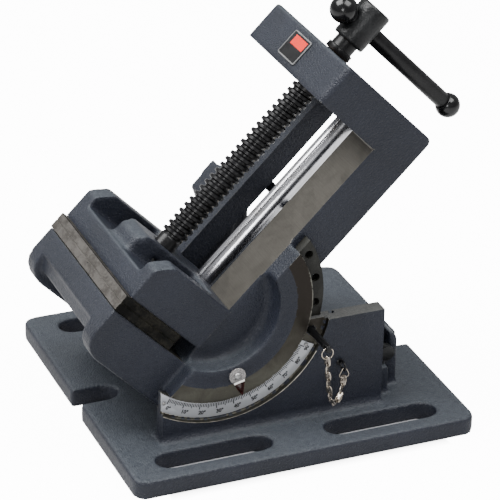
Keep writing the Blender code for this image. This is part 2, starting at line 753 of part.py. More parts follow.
def rivet_bore(angle):
    """Makes the hole of a scale rivet through scale and ledge."""
    depth = RIVET_LENGTH - RIVET_HEAD_HEIGHT + GAP
    span = (-SCALE_FACE_Y - OVERRUN, -SCALE_FACE_Y - GAP + depth)
    radius = RIVET_SHANK_RADIUS + GAP
    return rod("rivet_bore", BASE, "y", rivet_spot(angle), radius, span, SMALL_SIDES)


def scale_plate():
    """Makes the curved degree scale, its left end cut off with the wall."""
    left = GAP - WALL_LEFT_REACH
    inner_start = -math.degrees(math.acos(left / SCALE_INNER_RADIUS))
    outer_start = -math.degrees(math.acos(left / SCALE_OUTER_RADIUS))
    steps = FINE_SIDES // 2
    outline = arc((0, 0), SCALE_INNER_RADIUS, inner_start, SCALE_END_ANGLE, steps)
    outline += arc((0, 0), SCALE_OUTER_RADIUS, SCALE_END_ANGLE, outer_start, steps)
    outline = shifted(outline, PIVOT_X, PIVOT_Z)
    span = (-SCALE_FACE_Y, -SCALE_FACE_Y + SCALE_THICKNESS)
    scale = extruded("scale_plate", BASE, "xz", outline, span)
    for angle in rivet_angles():
        cut(scale, rivet_bore(angle))
    return scale


def scale_rivet(name, angle):
    """Makes one round-headed rivet of the scale."""
    x, z = rivet_spot(angle)
    frame = Matrix.Translation((x, -SCALE_FACE_Y - GAP, z)) @ Matrix.Rotation(math.radians(90), 4, "X")
    tip = RIVET_HEAD_HEIGHT - RIVET_LENGTH
    profile = [
        (0, RIVET_HEAD_HEIGHT),
        (RIVET_HEAD_RADIUS / 2, RIVET_HEAD_HEIGHT),
        (RIVET_HEAD_RADIUS, RIVET_HEAD_HEIGHT / 2),
        (RIVET_HEAD_RADIUS, 0),
        (RIVET_SHANK_RADIUS, 0),
        (RIVET_SHANK_RADIUS, tip),
        (0, tip),
    ]
    return turned(name, frame, profile, SMALL_SIDES)


def clamp_frame():
    """Gives the frame of the clamp bolt, with its head towards -Y."""
    return BASE @ Matrix.Translation((LUG_CENTRE_X, 0, CLAMP_BOLT_Z))


def clamp_bolt():
    """Makes the round-headed bolt through the lug."""
    frame = clamp_frame()
    head_face = -LUG_OUTER_Y - GAP
    head_span = (head_face - CLAMP_HEAD_HEIGHT, head_face)
    bolt = rod("clamp_bolt", frame, "y", (0, 0), CLAMP_HEAD_RADIUS, head_span)
    tip = CLAMP_NUT_END + CLAMP_BOLT_STICKOUT
    shank_span = (head_face - SINK, tip)
    return join(bolt, rod("clamp_shank", frame, "y", (0, 0), CLAMP_BOLT_RADIUS, shank_span, SMALL_SIDES))


def clamp_washer():
    """Makes the washer under the clamp nut."""
    frame = clamp_frame()
    span = (CLAMP_WASHER_FACE, CLAMP_WASHER_FACE + WASHER_THICKNESS)
    washer = rod("clamp_washer", frame, "y", (0, 0), WASHER_RADIUS, span)
    hole_span = (span[0] - OVERRUN, span[1] + OVERRUN)
    hole_radius = CLAMP_BOLT_RADIUS + GAP
    return cut(washer, rod("washer_hole", frame, "y", (0, 0), hole_radius, hole_span, SMALL_SIDES))


def clamp_nut():
    """Makes the hexagon nut on the clamp bolt, inside the lug."""
    frame = clamp_frame()
    low = CLAMP_NUT_END - CLAMP_NUT_HEIGHT
    nut = extruded("clamp_nut", frame, "xz", hex_outline(HEX_ACROSS_FLATS), (low, CLAMP_NUT_END))
    hole_span = (low - OVERRUN, CLAMP_NUT_END + OVERRUN)
    hole_radius = CLAMP_BOLT_RADIUS + GAP
    return cut(nut, rod("nut_hole", frame, "y", (0, 0), hole_radius, hole_span, SMALL_SIDES))


def fixed_jaw_outline():
    """Lists the side outline of the fixed jaw's block."""
    return rounded(
        [
            (FIXED_JAW_FACE, FIXED_JAW_BOTTOM, 0),
            (FIXED_JAW_FACE, FIXED_JAW_TOP, 0),
            (FIXED_JAW_END, FIXED_JAW_TOP, FIXED_JAW_ROUND),
            (FIXED_JAW_END, FIXED_JAW_BOTTOM, END_BLOCK_ROUND),
        ]
    )


def fixed_jaw_pocket():
    """Makes the hollow behind the fixed jaw, around the roof that ties its cheeks."""
    far = FIXED_JAW_END - OVERRUN
    high = FIXED_JAW_TOP + OVERRUN
    ridge_u = FIXED_JAW_FACE - ROOF_RIDGE_SETBACK
    edge_u = FIXED_JAW_FACE - ROOF_EDGE_SETBACK
    wall_u = FIXED_JAW_FACE - FIXED_JAW_WALL
    edge_w = FIXED_JAW_TOP - ROOF_EDGE_DROP
    outline = [
        (ridge_u, high),
        (ridge_u, FIXED_JAW_TOP - ROOF_RIDGE_DROP),
        (edge_u, edge_w),
        (edge_u, edge_w - ROOF_THICKNESS),
        (wall_u, edge_w - ROOF_THICKNESS + ROOF_RIDGE_DROP),
        (wall_u, POCKET_FLOOR),
        (far, POCKET_FLOOR),
        (far, high),
    ]
    reach = JAW_CASTING_WIDTH / 2 - CHEEK_THICKNESS
    return extruded("back_pocket", BED, "xz", outline, (-reach, reach))


def trunnion(span_sign):
    """Makes one trunnion disc with its index flange, on the front for -1 and on the rear for 1."""
    root = FLANGE_INNER_Y - SINK
    profile = [
        (0, BOSS_FACE_Y - BOSS_CAST_STEP),
        (BOSS_CAST_RADIUS, BOSS_FACE_Y - BOSS_CAST_STEP),
        (BOSS_CAST_RADIUS, BOSS_FACE_Y),
        (BOSS_RADIUS, BOSS_FACE_Y),
        (BOSS_RADIUS, FLANGE_OUTER_Y),
        (FLANGE_RADIUS, FLANGE_OUTER_Y),
        (FLANGE_RADIUS, FLANGE_INNER_Y),
        (BOSS_RADIUS, FLANGE_INNER_Y),
        (BOSS_RADIUS, root),
        (0, root),
    ]
    turn = ALONG_Y if span_sign > 0 else ALONG_Y @ Matrix.Rotation(math.pi, 4, "X")
    disc = turned("trunnion", BED @ turn, profile, FINE_SIDES)
    floor = FLANGE_INNER_Y - RUNNING_GAP
    corner = (BOSS_INNER_RADIUS - BOSS_FILLET, floor + BOSS_FILLET)
    recess = [(0, BOSS_FACE_Y + OVERRUN), (BOSS_INNER_RADIUS, BOSS_FACE_Y + OVERRUN)]
    recess += arc(corner, BOSS_FILLET, 0, -90)
    recess += [(0, floor)]
    cut(disc, turned("trunnion_recess", BED @ turn, recess, FINE_SIDES))
    far = FLANGE_RADIUS + OVERRUN
    face = sorted((span_sign * (root - OVERRUN), span_sign * (BOSS_FACE_Y + OVERRUN)))
    cut(disc, box("trunnion_top", BED, (-far, far), face, (BOSS_TOP, far)))
    flange_top = -FLANGE_RADIUS * math.sin(math.radians(FLANGE_END_ANGLE))
    for side in (-1, 1):
        reach = sorted((side * (BOSS_RADIUS - GAP), side * far))
        cut(disc, box("flange_top", BED, reach, face, (flange_top, OVERRUN)))
    return disc


def index_holes():
    """Makes the ring of index holes in the front flange."""
    holes = []
    span = (-FLANGE_OUTER_Y - OVERRUN, -FLANGE_INNER_Y + OVERRUN)
    for step in range(HIGHEST_TILT // HOLE_STEP_ANGLE + 1):
        spot = polar(HOLE_CIRCLE_RADIUS, FIRST_HOLE_ANGLE - step * HOLE_STEP_ANGLE)
        holes.append(rod("index_hole", BED, "y", spot, FLANGE_HOLE_RADIUS, span, SMALL_SIDES))
    return holes


def vise_body():
    """Makes the tilting casting: rails, skirts, end block, fixed jaw and trunnions."""
    half = BODY_WIDTH / 2
    jaw_half = JAW_CASTING_WIDTH / 2
    body = extruded("vise_body", BED, "xz", fixed_jaw_outline(), (-jaw_half, jaw_half))
    cut(body, fixed_jaw_pocket())
    rail_start = FIXED_JAW_FACE - FIXED_JAW_WALL
    rail_end = END_BLOCK_OUTER - SINK
    join(body, box("rails", BED, (rail_start, rail_end), (-half, half), (RAIL_BOTTOM, RAIL_TOP)))
    for span in mirrored_pair((half - SKIRT_THICKNESS, half)):
        skirt_top = RAIL_BOTTOM + SINK
        join(body, box("skirt", BED, (rail_start, rail_end), span, (SKIRT_BOTTOM, skirt_top)))
    block = extruded(
        "end_block",
        BED,
        "yz",
        rounded(
            [
                (half, SKIRT_BOTTOM, END_BLOCK_ROUND),
                (half, END_BLOCK_TOP, END_BLOCK_ROUND),
                (-half, END_BLOCK_TOP, END_BLOCK_ROUND),
                (-half, SKIRT_BOTTOM, END_BLOCK_ROUND),
            ]
        ),
        (END_BLOCK_INNER, END_BLOCK_OUTER),
    )
    join(body, bevel(block, PLATE_CHAMFER))
    rib_span = (RIB_POSITION - RIB_THICKNESS / 2, RIB_POSITION + RIB_THICKNESS / 2)
    rib_half = half - SKIRT_THICKNESS + SINK
    rib_top = SKIRT_BOTTOM + RIB_HEIGHT
    join(body, box("cross_rib", BED, rib_span, (-rib_half, rib_half), (SKIRT_BOTTOM + GAP, rib_top)))
    seat_half = ROD_SEAT_WIDTH / 2
    seat_span = (FIXED_JAW_FACE - ROD_SEAT_LENGTH + RAIL_THICKNESS / 2, FIXED_JAW_FACE + RAIL_THICKNESS / 2)
    seat_bottom = ROD_W - ROD_RADIUS - ROD_SEAT_WALL
    join(body, box("rod_seat", BED, seat_span, (-seat_half, seat_half), (seat_bottom, RAIL_BOTTOM + SINK)))
    join(body, trunnion(-1), trunnion(1))
    cut(body, rail_slot(), spindle_bore(), *rod_bores(), *index_holes())
    for side in (-1, 1):
        spot = (side * PLATE_SCREW_Y, PLATE_SCREW_W)
        low = FIXED_PLATE_FRONT - PLATE_SCREW_INSET - PLATE_SCREW_LENGTH - GAP
        radius = PLATE_SCREW_SHANK_RADIUS + GAP
        span = (low, FIXED_JAW_FACE + OVERRUN)
        cut(body, rod("plate_screw_bore", BED, "x", spot, radius, span, SMALL_SIDES))
    cut(body, pointer_bore())
    return body


def rail_slot():
    """Makes the slot between the rails, in which the moving jaw's tongue runs."""
    half = RAIL_SLOT_WIDTH / 2
    span = (MOVING_JAW_FACE - OVERRUN, END_BLOCK_INNER)
    return box("rail_slot", BED, span, (-half, half), (SKIRT_BOTTOM + RIB_HEIGHT + GAP, OVERRUN))


def spindle_bore():
    """Makes the bore of the end block that holds the spindle nut."""
    span = (END_BLOCK_INNER - OVERRUN, END_BLOCK_OUTER + OVERRUN)
    return rod("nut_bore", BED, "x", (0, SPINDLE_W), NUT_RADIUS + GAP, span)


def rod_bores():
    """Makes the two blind bores that hold the guide rod's ends."""
    left = (ROD_START - GAP, MOVING_JAW_FACE)
    right = (END_BLOCK_INNER - OVERRUN, ROD_END + GAP)
    return [rod("rod_bore", BED, "x", (0, ROD_W), ROD_BORE_RADIUS, span) for span in (left, right)]


def pointer_bore():
    """Makes the blind hole of the pointer's screw in the front trunnion."""
    spot = polar(POINTER_SCREW_CIRCLE_RADIUS, POINTER_ANGLE)
    depth = POINTER_SCREW_LENGTH - POINTER_THICKNESS
    span = (-BOSS_FACE_Y - OVERRUN, -BOSS_FACE_Y + depth)
    radius = POINTER_SCREW_SHANK_RADIUS + GAP
    return rod("pointer_bore", BED, "y", spot, radius, span, SMALL_SIDES)


def pointer():
    """Makes the pointer: a disc round its screw that tapers to a tip at the scale."""
    frame = BED @ Matrix.Rotation(-math.radians(POINTER_ANGLE), 4, "Y")
    disc = arc((POINTER_SCREW_CIRCLE_RADIUS, 0), POINTER_DISC_RADIUS, 45, 315, SMALL_SIDES)
    neck = POINTER_SCREW_CIRCLE_RADIUS + POINTER_DISC_RADIUS
    outline = disc + [
        (neck, -POINTER_BODY_WIDTH / 2),
        (POINTER_TIP_CIRCLE_RADIUS, -POINTER_TIP_WIDTH / 2),
        (POINTER_TIP_CIRCLE_RADIUS, POINTER_TIP_WIDTH / 2),
        (neck, POINTER_BODY_WIDTH / 2),
    ]
    back = -BOSS_FACE_Y - GAP
    piece = extruded("pointer", frame, "xz", outline, (back - POINTER_THICKNESS, back))
    hole_radius = POINTER_SCREW_SHANK_RADIUS + GAP
    span = (back - OVERRUN, back + OVERRUN)
    spot = (POINTER_SCREW_CIRCLE_RADIUS, 0)
    return cut(piece, rod("pointer_hole", frame, "y", spot, hole_radius, span, SMALL_SIDES))


def pan_screw_profile(head_radius, head_height, shank_radius, length):
    """Lists the profile of a screw whose head stands on height zero."""
    return [
        (0, head_height),
        (head_radius * HEX_SOCKET_SHARE, head_height),
        (head_radius, head_height / 2),
        (head_radius, 0),
        (shank_radius, 0),
        (shank_radius, -length),
        (0, -length),
    ]


def pointer_screw():
    """Makes the small screw that holds the pointer."""
    u, w = polar(POINTER_SCREW_CIRCLE_RADIUS, POINTER_ANGLE)
    face = -BOSS_FACE_Y - GAP - POINTER_THICKNESS - GAP
    frame = BED @ Matrix.Translation((u, face, w)) @ Matrix.Rotation(math.radians(90), 4, "X")
    length = POINTER_SCREW_LENGTH - POINTER_SCREW_HEAD_HEIGHT
    profile = pan_screw_profile(
        POINTER_SCREW_HEAD_RADIUS, POINTER_SCREW_HEAD_HEIGHT, POINTER_SCREW_SHANK_RADIUS, length
    )
    return turned("pointer_screw", frame, profile, SMALL_SIDES)


def screw_frame(side, screw_face, inward):
    """Gives the frame of a jaw plate's screw, local Z pointing out of the plate's face."""
    turn = Matrix.Rotation(-inward * math.radians(90), 4, "Y")
    spot = Matrix.Translation((screw_face, side * PLATE_SCREW_Y, PLATE_SCREW_W))
    return BED @ spot @ turn


def jaw_plate(name, u_span, screw_face, inward):
    """Makes a jaw plate with two countersunk holes; inward is the side its screws point to."""
    half = JAW_PLATE_WIDTH / 2
    plate = box(name, BED, u_span, (-half, half), (JAW_PLATE_BOTTOM, JAW_PLATE_TOP))
    bevel(plate, JAW_PLATE_CHAMFER)
    wide = PLATE_SCREW_HEAD_RADIUS + GAP
    narrow = PLATE_SCREW_SHANK_RADIUS + GAP
    far = -JAW_PLATE_THICKNESS - OVERRUN
    profile = [
        (0, OVERRUN),
        (wide, OVERRUN),
        (wide, -GAP),
        (narrow, -PLATE_SCREW_HEAD_HEIGHT - GAP),
        (narrow, far),
        (0, far),
    ]
    for side in (-1, 1):
        frame = screw_frame(side, screw_face, inward)
        cut(plate, turned("countersunk_bore", frame, profile, SMALL_SIDES))
    return plate


def plate_screw(name, side, screw_face, inward):
    """Makes one countersunk screw of a jaw plate, with its hexagon socket."""
    frame = screw_frame(side, screw_face, inward)
    profile = [
        (0, 0),
        (PLATE_SCREW_HEAD_RADIUS, 0),
        (PLATE_SCREW_SHANK_RADIUS, -PLATE_SCREW_HEAD_HEIGHT),
        (PLATE_SCREW_SHANK_RADIUS, -PLATE_SCREW_LENGTH),
        (0, -PLATE_SCREW_LENGTH),
    ]
    screw = turned(name, frame, profile, SMALL_SIDES)
    socket = hex_outline(PLATE_SCREW_HEAD_RADIUS)
    depth = PLATE_SCREW_HEAD_HEIGHT * HEX_SOCKET_SHARE
    return cut(screw, extruded("socket", frame, "xy", socket, (-depth, OVERRUN)))


def jaw_plates_and_screws():
    """Makes both jaw plates and their four screws."""
    fixed_face = FIXED_PLATE_FRONT - PLATE_SCREW_INSET
    moving_face = MOVING_PLATE_FRONT + PLATE_SCREW_INSET
    fixed = [jaw_plate("fixed_jaw_plate", (FIXED_PLATE_BACK, FIXED_PLATE_FRONT), fixed_face, -1)]
    moving = [jaw_plate("moving_jaw_plate", (MOVING_PLATE_FRONT, MOVING_PLATE_BACK), moving_face, 1)]
    for side, word in ((-1, "front"), (1, "rear")):
        fixed.append(plate_screw("fixed_plate_screw_" + word, side, fixed_face, -1))
        moving.append(plate_screw("moving_plate_screw_" + word, side, moving_face, 1))
    return fixed, moving


def spindle_nut():
    """Makes the bronze nut pressed into the end block, bored clear of the thread's crests."""
    span = (END_BLOCK_INNER, END_BLOCK_OUTER)
    nut = rod("spindle_nut", BED, "x", (0, SPINDLE_W), NUT_RADIUS, span)
    hole_span = (END_BLOCK_INNER - OVERRUN, END_BLOCK_OUTER + OVERRUN)
    return cut(nut, rod("nut_thread_bore", BED, "x", (0, SPINDLE_W), NUT_BORE_RADIUS, hole_span))


def guide_rod():
    """Makes the round rod that guides the moving jaw."""
    guide = rod("guide_rod", BED, "x", (0, ROD_W), ROD_RADIUS, (ROD_START, ROD_END))
    return bevel(guide, HEAD_CHAMFER)


def badge_plate():
    """Makes the bare badge plate on top of the end block."""
    half_u, half_y = BADGE_LENGTH / 2, BADGE_WIDTH / 2
    corners = ((half_u, half_y), (-half_u, half_y), (-half_u, -half_y), (half_u, -half_y))
    outline = rounded([(u, y, BADGE_CORNER) for u, y in corners])
    outline = shifted(outline, (END_BLOCK_INNER + END_BLOCK_OUTER) / 2, BADGE_CENTRE_Y)
    low = END_BLOCK_TOP + GAP
    return extruded("badge_plate", BED, "xy", outline, (low, low + BADGE_THICKNESS))


def moving_jaw_outline():
    """Lists the side outline of the moving jaw above the rails."""
    slope_u = MOVING_JAW_BACK - MOVING_JAW_SLOPE
    return rounded(
        [
            (MOVING_JAW_FACE, MOVING_JAW_BOTTOM, 0),
            (MOVING_JAW_BACK, MOVING_JAW_BOTTOM, 0),
            (MOVING_JAW_BACK, MOVING_JAW_BACK_TOP, MOVING_JAW_ROUND),
            (slope_u, MOVING_JAW_TOP, MOVING_JAW_ROUND),
            (MOVING_JAW_FACE, MOVING_JAW_TOP, 0),
        ]
    )


def jaw_pocket(side):
    """Makes one pocket between the spindle boss and a cheek, with a sloping flank."""
    top = MOVING_JAW_TOP + OVERRUN
    floor = MOVING_JAW_BOTTOM + MOVING_JAW_FLOOR
    outer = JAW_CASTING_WIDTH / 2 - MOVING_CHEEK_THICKNESS
    lean = (JAW_BOSS_FOOT_WIDTH - JAW_BOSS_TOP_WIDTH) / 2
    rise = MOVING_JAW_TOP - floor
    inner_top = JAW_BOSS_TOP_WIDTH / 2 - lean * OVERRUN / rise
    outline = rounded(
        [
            (JAW_BOSS_FOOT_WIDTH / 2, floor, SINK),
            (outer, floor, SINK),
            (outer, top, 0),
            (inner_top, top, 0),
        ],
        2,
    )
    outline = [(side * y, w) for y, w in outline]
    span = (MOVING_JAW_FACE + MOVING_JAW_FRONT_WALL, MOVING_JAW_BACK + OVERRUN)
    return extruded("jaw_pocket", BED, "yz", outline, span)


def moving_jaw():
    """Makes the moving jaw's casting with its tongue between the rails."""
    half = JAW_CASTING_WIDTH / 2
    jaw = extruded("moving_jaw", SPINDLE_LINE, "xz", drop(moving_jaw_outline()), (-half, half))
    cut(jaw, jaw_pocket(-1), jaw_pocket(1))
    boss_half = JAW_BOSS_FOOT_WIDTH / 2
    boss_top = MOVING_JAW_TOP - JAW_BOSS_DROP
    top_span = (MOVING_JAW_FACE + MOVING_JAW_FRONT_WALL, MOVING_JAW_BACK + OVERRUN)
    cut(jaw, box("boss_top", BED, top_span, (-boss_half, boss_half), (boss_top, MOVING_JAW_TOP + OVERRUN)))
    u_span = (MOVING_JAW_FACE + GAP, MOVING_JAW_BACK - GAP)
    tongue_half = RAIL_SLOT_WIDTH / 2 - RUNNING_GAP
    tongue_top = MOVING_JAW_BOTTOM + SINK
    join(jaw, box("tongue", BED, u_span, (-tongue_half, tongue_half), (TONGUE_BOTTOM, tongue_top)))
    keel_half = TONGUE_KEEL_WIDTH / 2
    join(jaw, box("keel", BED, u_span, (-keel_half, keel_half), (KEEL_BOTTOM, TONGUE_BOTTOM + SINK)))
    through = (MOVING_JAW_FACE - OVERRUN, MOVING_JAW_BACK + OVERRUN)
    cut(jaw, rod("jaw_rod_bore", BED, "x", (0, ROD_W), ROD_BORE_RADIUS, through))
    journal_span = (JOURNAL_START - GAP, MOVING_JAW_BACK + OVERRUN)
    cut(jaw, rod("journal_bore", BED, "x", (0, SPINDLE_W), JOURNAL_RADIUS + GAP, journal_span))
    button_span = (THRUST_BACK - GAP, THRUST_FACE + GAP)
    button_radius = THRUST_BUTTON_RADIUS + GAP
    cut(jaw, rod("button_bore", BED, "x", (0, SPINDLE_W), button_radius, button_span))
    for side in (-1, 1):
        spot = (GROOVE_U, SPINDLE_W + side * RETAINING_PIN_OFFSET)
        span = (-JAW_BOSS_FOOT_WIDTH / 2 - OVERRUN, JAW_BOSS_FOOT_WIDTH / 2 + OVERRUN)
        radius = RETAINING_PIN_RADIUS + GAP
        cut(jaw, rod("retaining_bore", BED, "y", spot, radius, span, SMALL_SIDES))
    for side in (-1, 1):
        spot = (side * PLATE_SCREW_Y, PLATE_SCREW_W)
        high = MOVING_PLATE_FRONT + PLATE_SCREW_INSET + PLATE_SCREW_LENGTH + GAP
        radius = PLATE_SCREW_SHANK_RADIUS + GAP
        span = (MOVING_JAW_FACE - OVERRUN, high)
        cut(jaw, rod("plate_screw_bore", BED, "x", spot, radius, span, SMALL_SIDES))
    for spot in keeper_screw_spots():
        depth = KEEPER_SCREW_LENGTH - KEEPER_THICKNESS
        span = (TONGUE_BOTTOM - OVERRUN, TONGUE_BOTTOM + depth + GAP)
        radius = KEEPER_SCREW_SHANK_RADIUS + GAP
        cut(jaw, rod("keeper_screw_bore", BED, "z", spot, radius, span, SMALL_SIDES))
    return jaw


def drop(outline):
    """Rewrites an outline drawn above the tilt axis as one drawn above the spindle's line."""
    return [(u, w - SPINDLE_W) for u, w in outline]


def keeper_screw_spots():
    """Lists the U and Y of the four keeper screws."""
    half = KEEPER_SCREW_SPACING / 2
    return [(KEEPER_CENTRE_U + a * half, b * KEEPER_SCREW_Y) for b in (-1, 1) for a in (-1, 1)]


def keepers_and_screws():
    """Makes the two keeper strips under the rails and their screws."""
    pieces = []
    u_span = (KEEPER_CENTRE_U - KEEPER_LENGTH / 2, KEEPER_CENTRE_U + KEEPER_LENGTH / 2)
    for word, y_span in zip(("front", "rear"), mirrored_pair((KEEPER_INNER_Y, KEEPER_OUTER_Y))):
        keeper = box("keeper_" + word, BED, u_span, y_span, (KEEPER_BOTTOM, KEEPER_TOP))
        for spot in keeper_screw_spots():
            if min(y_span) < spot[1] < max(y_span):
                span = (KEEPER_BOTTOM - OVERRUN, KEEPER_TOP + OVERRUN)
                radius = KEEPER_SCREW_SHANK_RADIUS + GAP
                cut(keeper, rod("keeper_hole", BED, "z", spot, radius, span, SMALL_SIDES))
        pieces.append(keeper)
    profile = pan_screw_profile(
        KEEPER_SCREW_HEAD_RADIUS, KEEPER_SCREW_HEAD_HEIGHT, KEEPER_SCREW_SHANK_RADIUS, KEEPER_SCREW_LENGTH
    )
    for number, (u, y) in enumerate(keeper_screw_spots(), 1):
        spot = Matrix.Translation((u, y, KEEPER_BOTTOM - GAP))
        frame = BED @ spot @ Matrix.Rotation(math.pi, 4, "X")
        screw = turned(f"keeper_screw_{number}", frame, profile, SMALL_SIDES)
        socket = hex_outline(KEEPER_SCREW_HEAD_RADIUS)
        depth = KEEPER_SCREW_HEAD_HEIGHT * HEX_SOCKET_SHARE
        socket_span = (KEEPER_SCREW_HEAD_HEIGHT - depth, KEEPER_SCREW_HEAD_HEIGHT + OVERRUN)
        cut(screw, extruded("keeper_socket", frame, "xy", socket, socket_span))
        pieces.append(screw)
    return pieces


def retaining_pins():
    """Makes the two cross pins that lie in the journal's groove."""
    pins = []
    half = RETAINING_PIN_LENGTH / 2
    for word, side in (("lower", -1), ("upper", 1)):
        spot = (GROOVE_U, SPINDLE_W + side * RETAINING_PIN_OFFSET)
        name = "retaining_pin_" + word
        pins.append(rod(name, BED, "y", spot, RETAINING_PIN_RADIUS, (-half, half), SMALL_SIDES))
    return pins


def thrust_button():
    """Makes the hard button that the spindle pushes on."""
    span = (THRUST_BACK, THRUST_FACE)
    return rod("thrust_button", BED, "x", (0, SPINDLE_W), THRUST_BUTTON_RADIUS, span)


def thread_solid(name, frame, start, length):
    """Makes a threaded bar from a helical grid, its profile fading out at both ends."""
    turns = round(length / THREAD_PITCH)
    rows = turns * THREAD_SIDES
    columns = len(THREAD_PROFILE_SHARES)
    height = THREAD_CREST_RADIUS - THREAD_ROOT_RADIUS
    shape = bmesh.new()
    grid = []
    for row in range(rows + THREAD_SIDES + 1):
        angle = 2 * math.pi * row / THREAD_SIDES
        fade = min(1, 2 * row / THREAD_SIDES, max(0, 2 * (rows - row) / THREAD_SIDES))
        line = []
        for along, rise in THREAD_PROFILE_SHARES:
            radius = THREAD_ROOT_RADIUS + height * rise * fade
            u = start + THREAD_PITCH * (row / THREAD_SIDES + along)
            spot = (u, radius * math.cos(angle), radius * math.sin(angle))
            line.append(shape.verts.new(spot))
        grid.append(line)
    last = rows
    for row in range(last):
        for column in range(columns):
            near = grid[row][column]
            far = grid[row + 1][column]
            if column + 1 < columns:
                quad = (near, far, grid[row + 1][column + 1], grid[row][column + 1])
            else:
                quad = (near, far, grid[row + 1 + THREAD_SIDES][0], grid[row + THREAD_SIDES][0])
            shape.faces.new(quad)
    for line in grid[last + 1 :]:
        for vertex in line[1:]:
            shape.verts.remove(vertex)
    close_thread(shape, start - THREAD_PITCH, grid, 0)
    close_thread(shape, start + (turns + 2) * THREAD_PITCH, grid, last)
    bmesh.ops.triangulate(shape, faces=shape.faces)
    return from_bmesh(name, shape, frame)


def close_thread(shape, tip_u, grid, row):
    """Closes one end of the thread with a fan to a point on its axis."""
    loop = [line[0] for line in grid[row : row + THREAD_SIDES + 1]]
    loop += list(reversed(grid[row][1:]))
    tip = shape.verts.new((tip_u, 0, 0))
    for i, vertex in enumerate(loop):
        shape.faces.new((vertex, loop[(i + 1) % len(loop)], tip))


def spindle():
    """Makes the spindle: journal with groove, thread, collar, neck and drilled head."""
    frame = SPINDLE_LINE @ ALONG_X
    profile = [
        (0, HEAD_END),
        (HEAD_RADIUS - HEAD_CHAMFER, HEAD_END),
        (HEAD_RADIUS, HEAD_END - HEAD_CHAMFER),
        (HEAD_RADIUS, HEAD_START + HEAD_CHAMFER),
        (HEAD_RADIUS - HEAD_CHAMFER, HEAD_START),
        (NECK_RADIUS, HEAD_START),
        (NECK_RADIUS, NECK_START),
        (COLLAR_RADIUS, NECK_START),
        (COLLAR_RADIUS, COLLAR_START),
        (0, COLLAR_START),
    ]
    piece = turned("spindle", frame, profile, ROUND_SIDES)
    journal = [
        (0, JOURNAL_END),
        (JOURNAL_RADIUS, JOURNAL_END),
        (JOURNAL_RADIUS, GROOVE_U + GROOVE_WIDTH / 2),
        (GROOVE_RADIUS, GROOVE_U + GROOVE_WIDTH / 2),
        (GROOVE_RADIUS, GROOVE_U - GROOVE_WIDTH / 2),
        (JOURNAL_RADIUS, GROOVE_U - GROOVE_WIDTH / 2),
        (JOURNAL_RADIUS, JOURNAL_START + JAW_PLATE_CHAMFER),
        (JOURNAL_RADIUS - JAW_PLATE_CHAMFER, JOURNAL_START),
        (0, JOURNAL_START),
    ]
    thread_length = COLLAR_START - JOURNAL_END - THREAD_PITCH
    thread_start = JOURNAL_END - THREAD_PITCH / 2
    tools = [
        thread_solid("thread", SPINDLE_LINE, thread_start, thread_length),
        turned("journal", frame, journal, ROUND_SIDES),
    ]
    join(piece, *tools)
    hole_reach = HEAD_RADIUS + OVERRUN
    cut(piece, rod("bar_hole", SPINDLE_LINE, "z", (BAR_U, 0), BAR_HOLE_RADIUS, (-hole_reach, hole_reach)))
    for height, radius in ((UPPER_BALL_HEIGHT, UPPER_BALL_RADIUS), (-lower_ball_seat(), LOWER_BALL_RADIUS)):
        cut(piece, ball("ball_seat", SPINDLE_LINE, (BAR_U, 0, height), radius + GAP, ROUND_SIDES))
    return piece


def lower_ball_seat():
    """Gives how far below the spindle's line the lower ball stops when the bar is pushed up."""
    return UPPER_BALL_HEIGHT - UPPER_BALL_RADIUS + LOWER_BALL_RADIUS


def handle():
    """Makes the handle's bar and its two balls."""
    frame = SPINDLE_LINE @ Matrix.Translation((BAR_U, 0, 0))
    upper_flat = math.sqrt(UPPER_BALL_RADIUS**2 - BAR_RADIUS**2)
    lower_flat = math.sqrt(LOWER_BALL_RADIUS**2 - BAR_RADIUS**2)
    top = UPPER_BALL_HEIGHT - upper_flat - GAP
    bottom = -LOWER_BALL_DROP + lower_flat + GAP
    bar = rod("handle_bar", frame, "z", (0, 0), BAR_RADIUS, (bottom, top))
    spigot_span = (bottom - SPIGOT_LENGTH, top + SPIGOT_LENGTH)
    join(bar, rod("spigots", frame, "z", (0, 0), SPIGOT_RADIUS, spigot_span, SMALL_SIDES))
    pieces = [bar]
    for word, centre, radius, cut_span in (
        ("upper", UPPER_BALL_HEIGHT, UPPER_BALL_RADIUS, (-1, upper_flat)),
        ("lower", -LOWER_BALL_DROP, LOWER_BALL_RADIUS, (1, lower_flat)),
    ):
        side, flat = cut_span
        knob = ball("handle_ball_" + word, frame, (0, 0, centre), radius, ROUND_SIDES - ARC_STEPS * 2)
        face = centre + side * flat
        reach = centre + side * (radius + OVERRUN)
        cut(knob, box("ball_flat", frame, (-radius, radius), (-radius, radius), sorted((face, reach))))
        deep = face - side * (SPIGOT_LENGTH + GAP)
        bore_radius = SPIGOT_RADIUS + GAP
        bore_span = sorted((deep, reach))
        cut(knob, rod("ball_bore", frame, "z", (0, 0), bore_radius, bore_span, SMALL_SIDES))
        pieces.append(knob)
    return pieces


def pin_axis():
    """Gives the X and Z of the index pin's axis."""
    x, z = polar(HOLE_CIRCLE_RADIUS, FIRST_HOLE_ANGLE)
    return PIVOT_X + x, PIVOT_Z + z


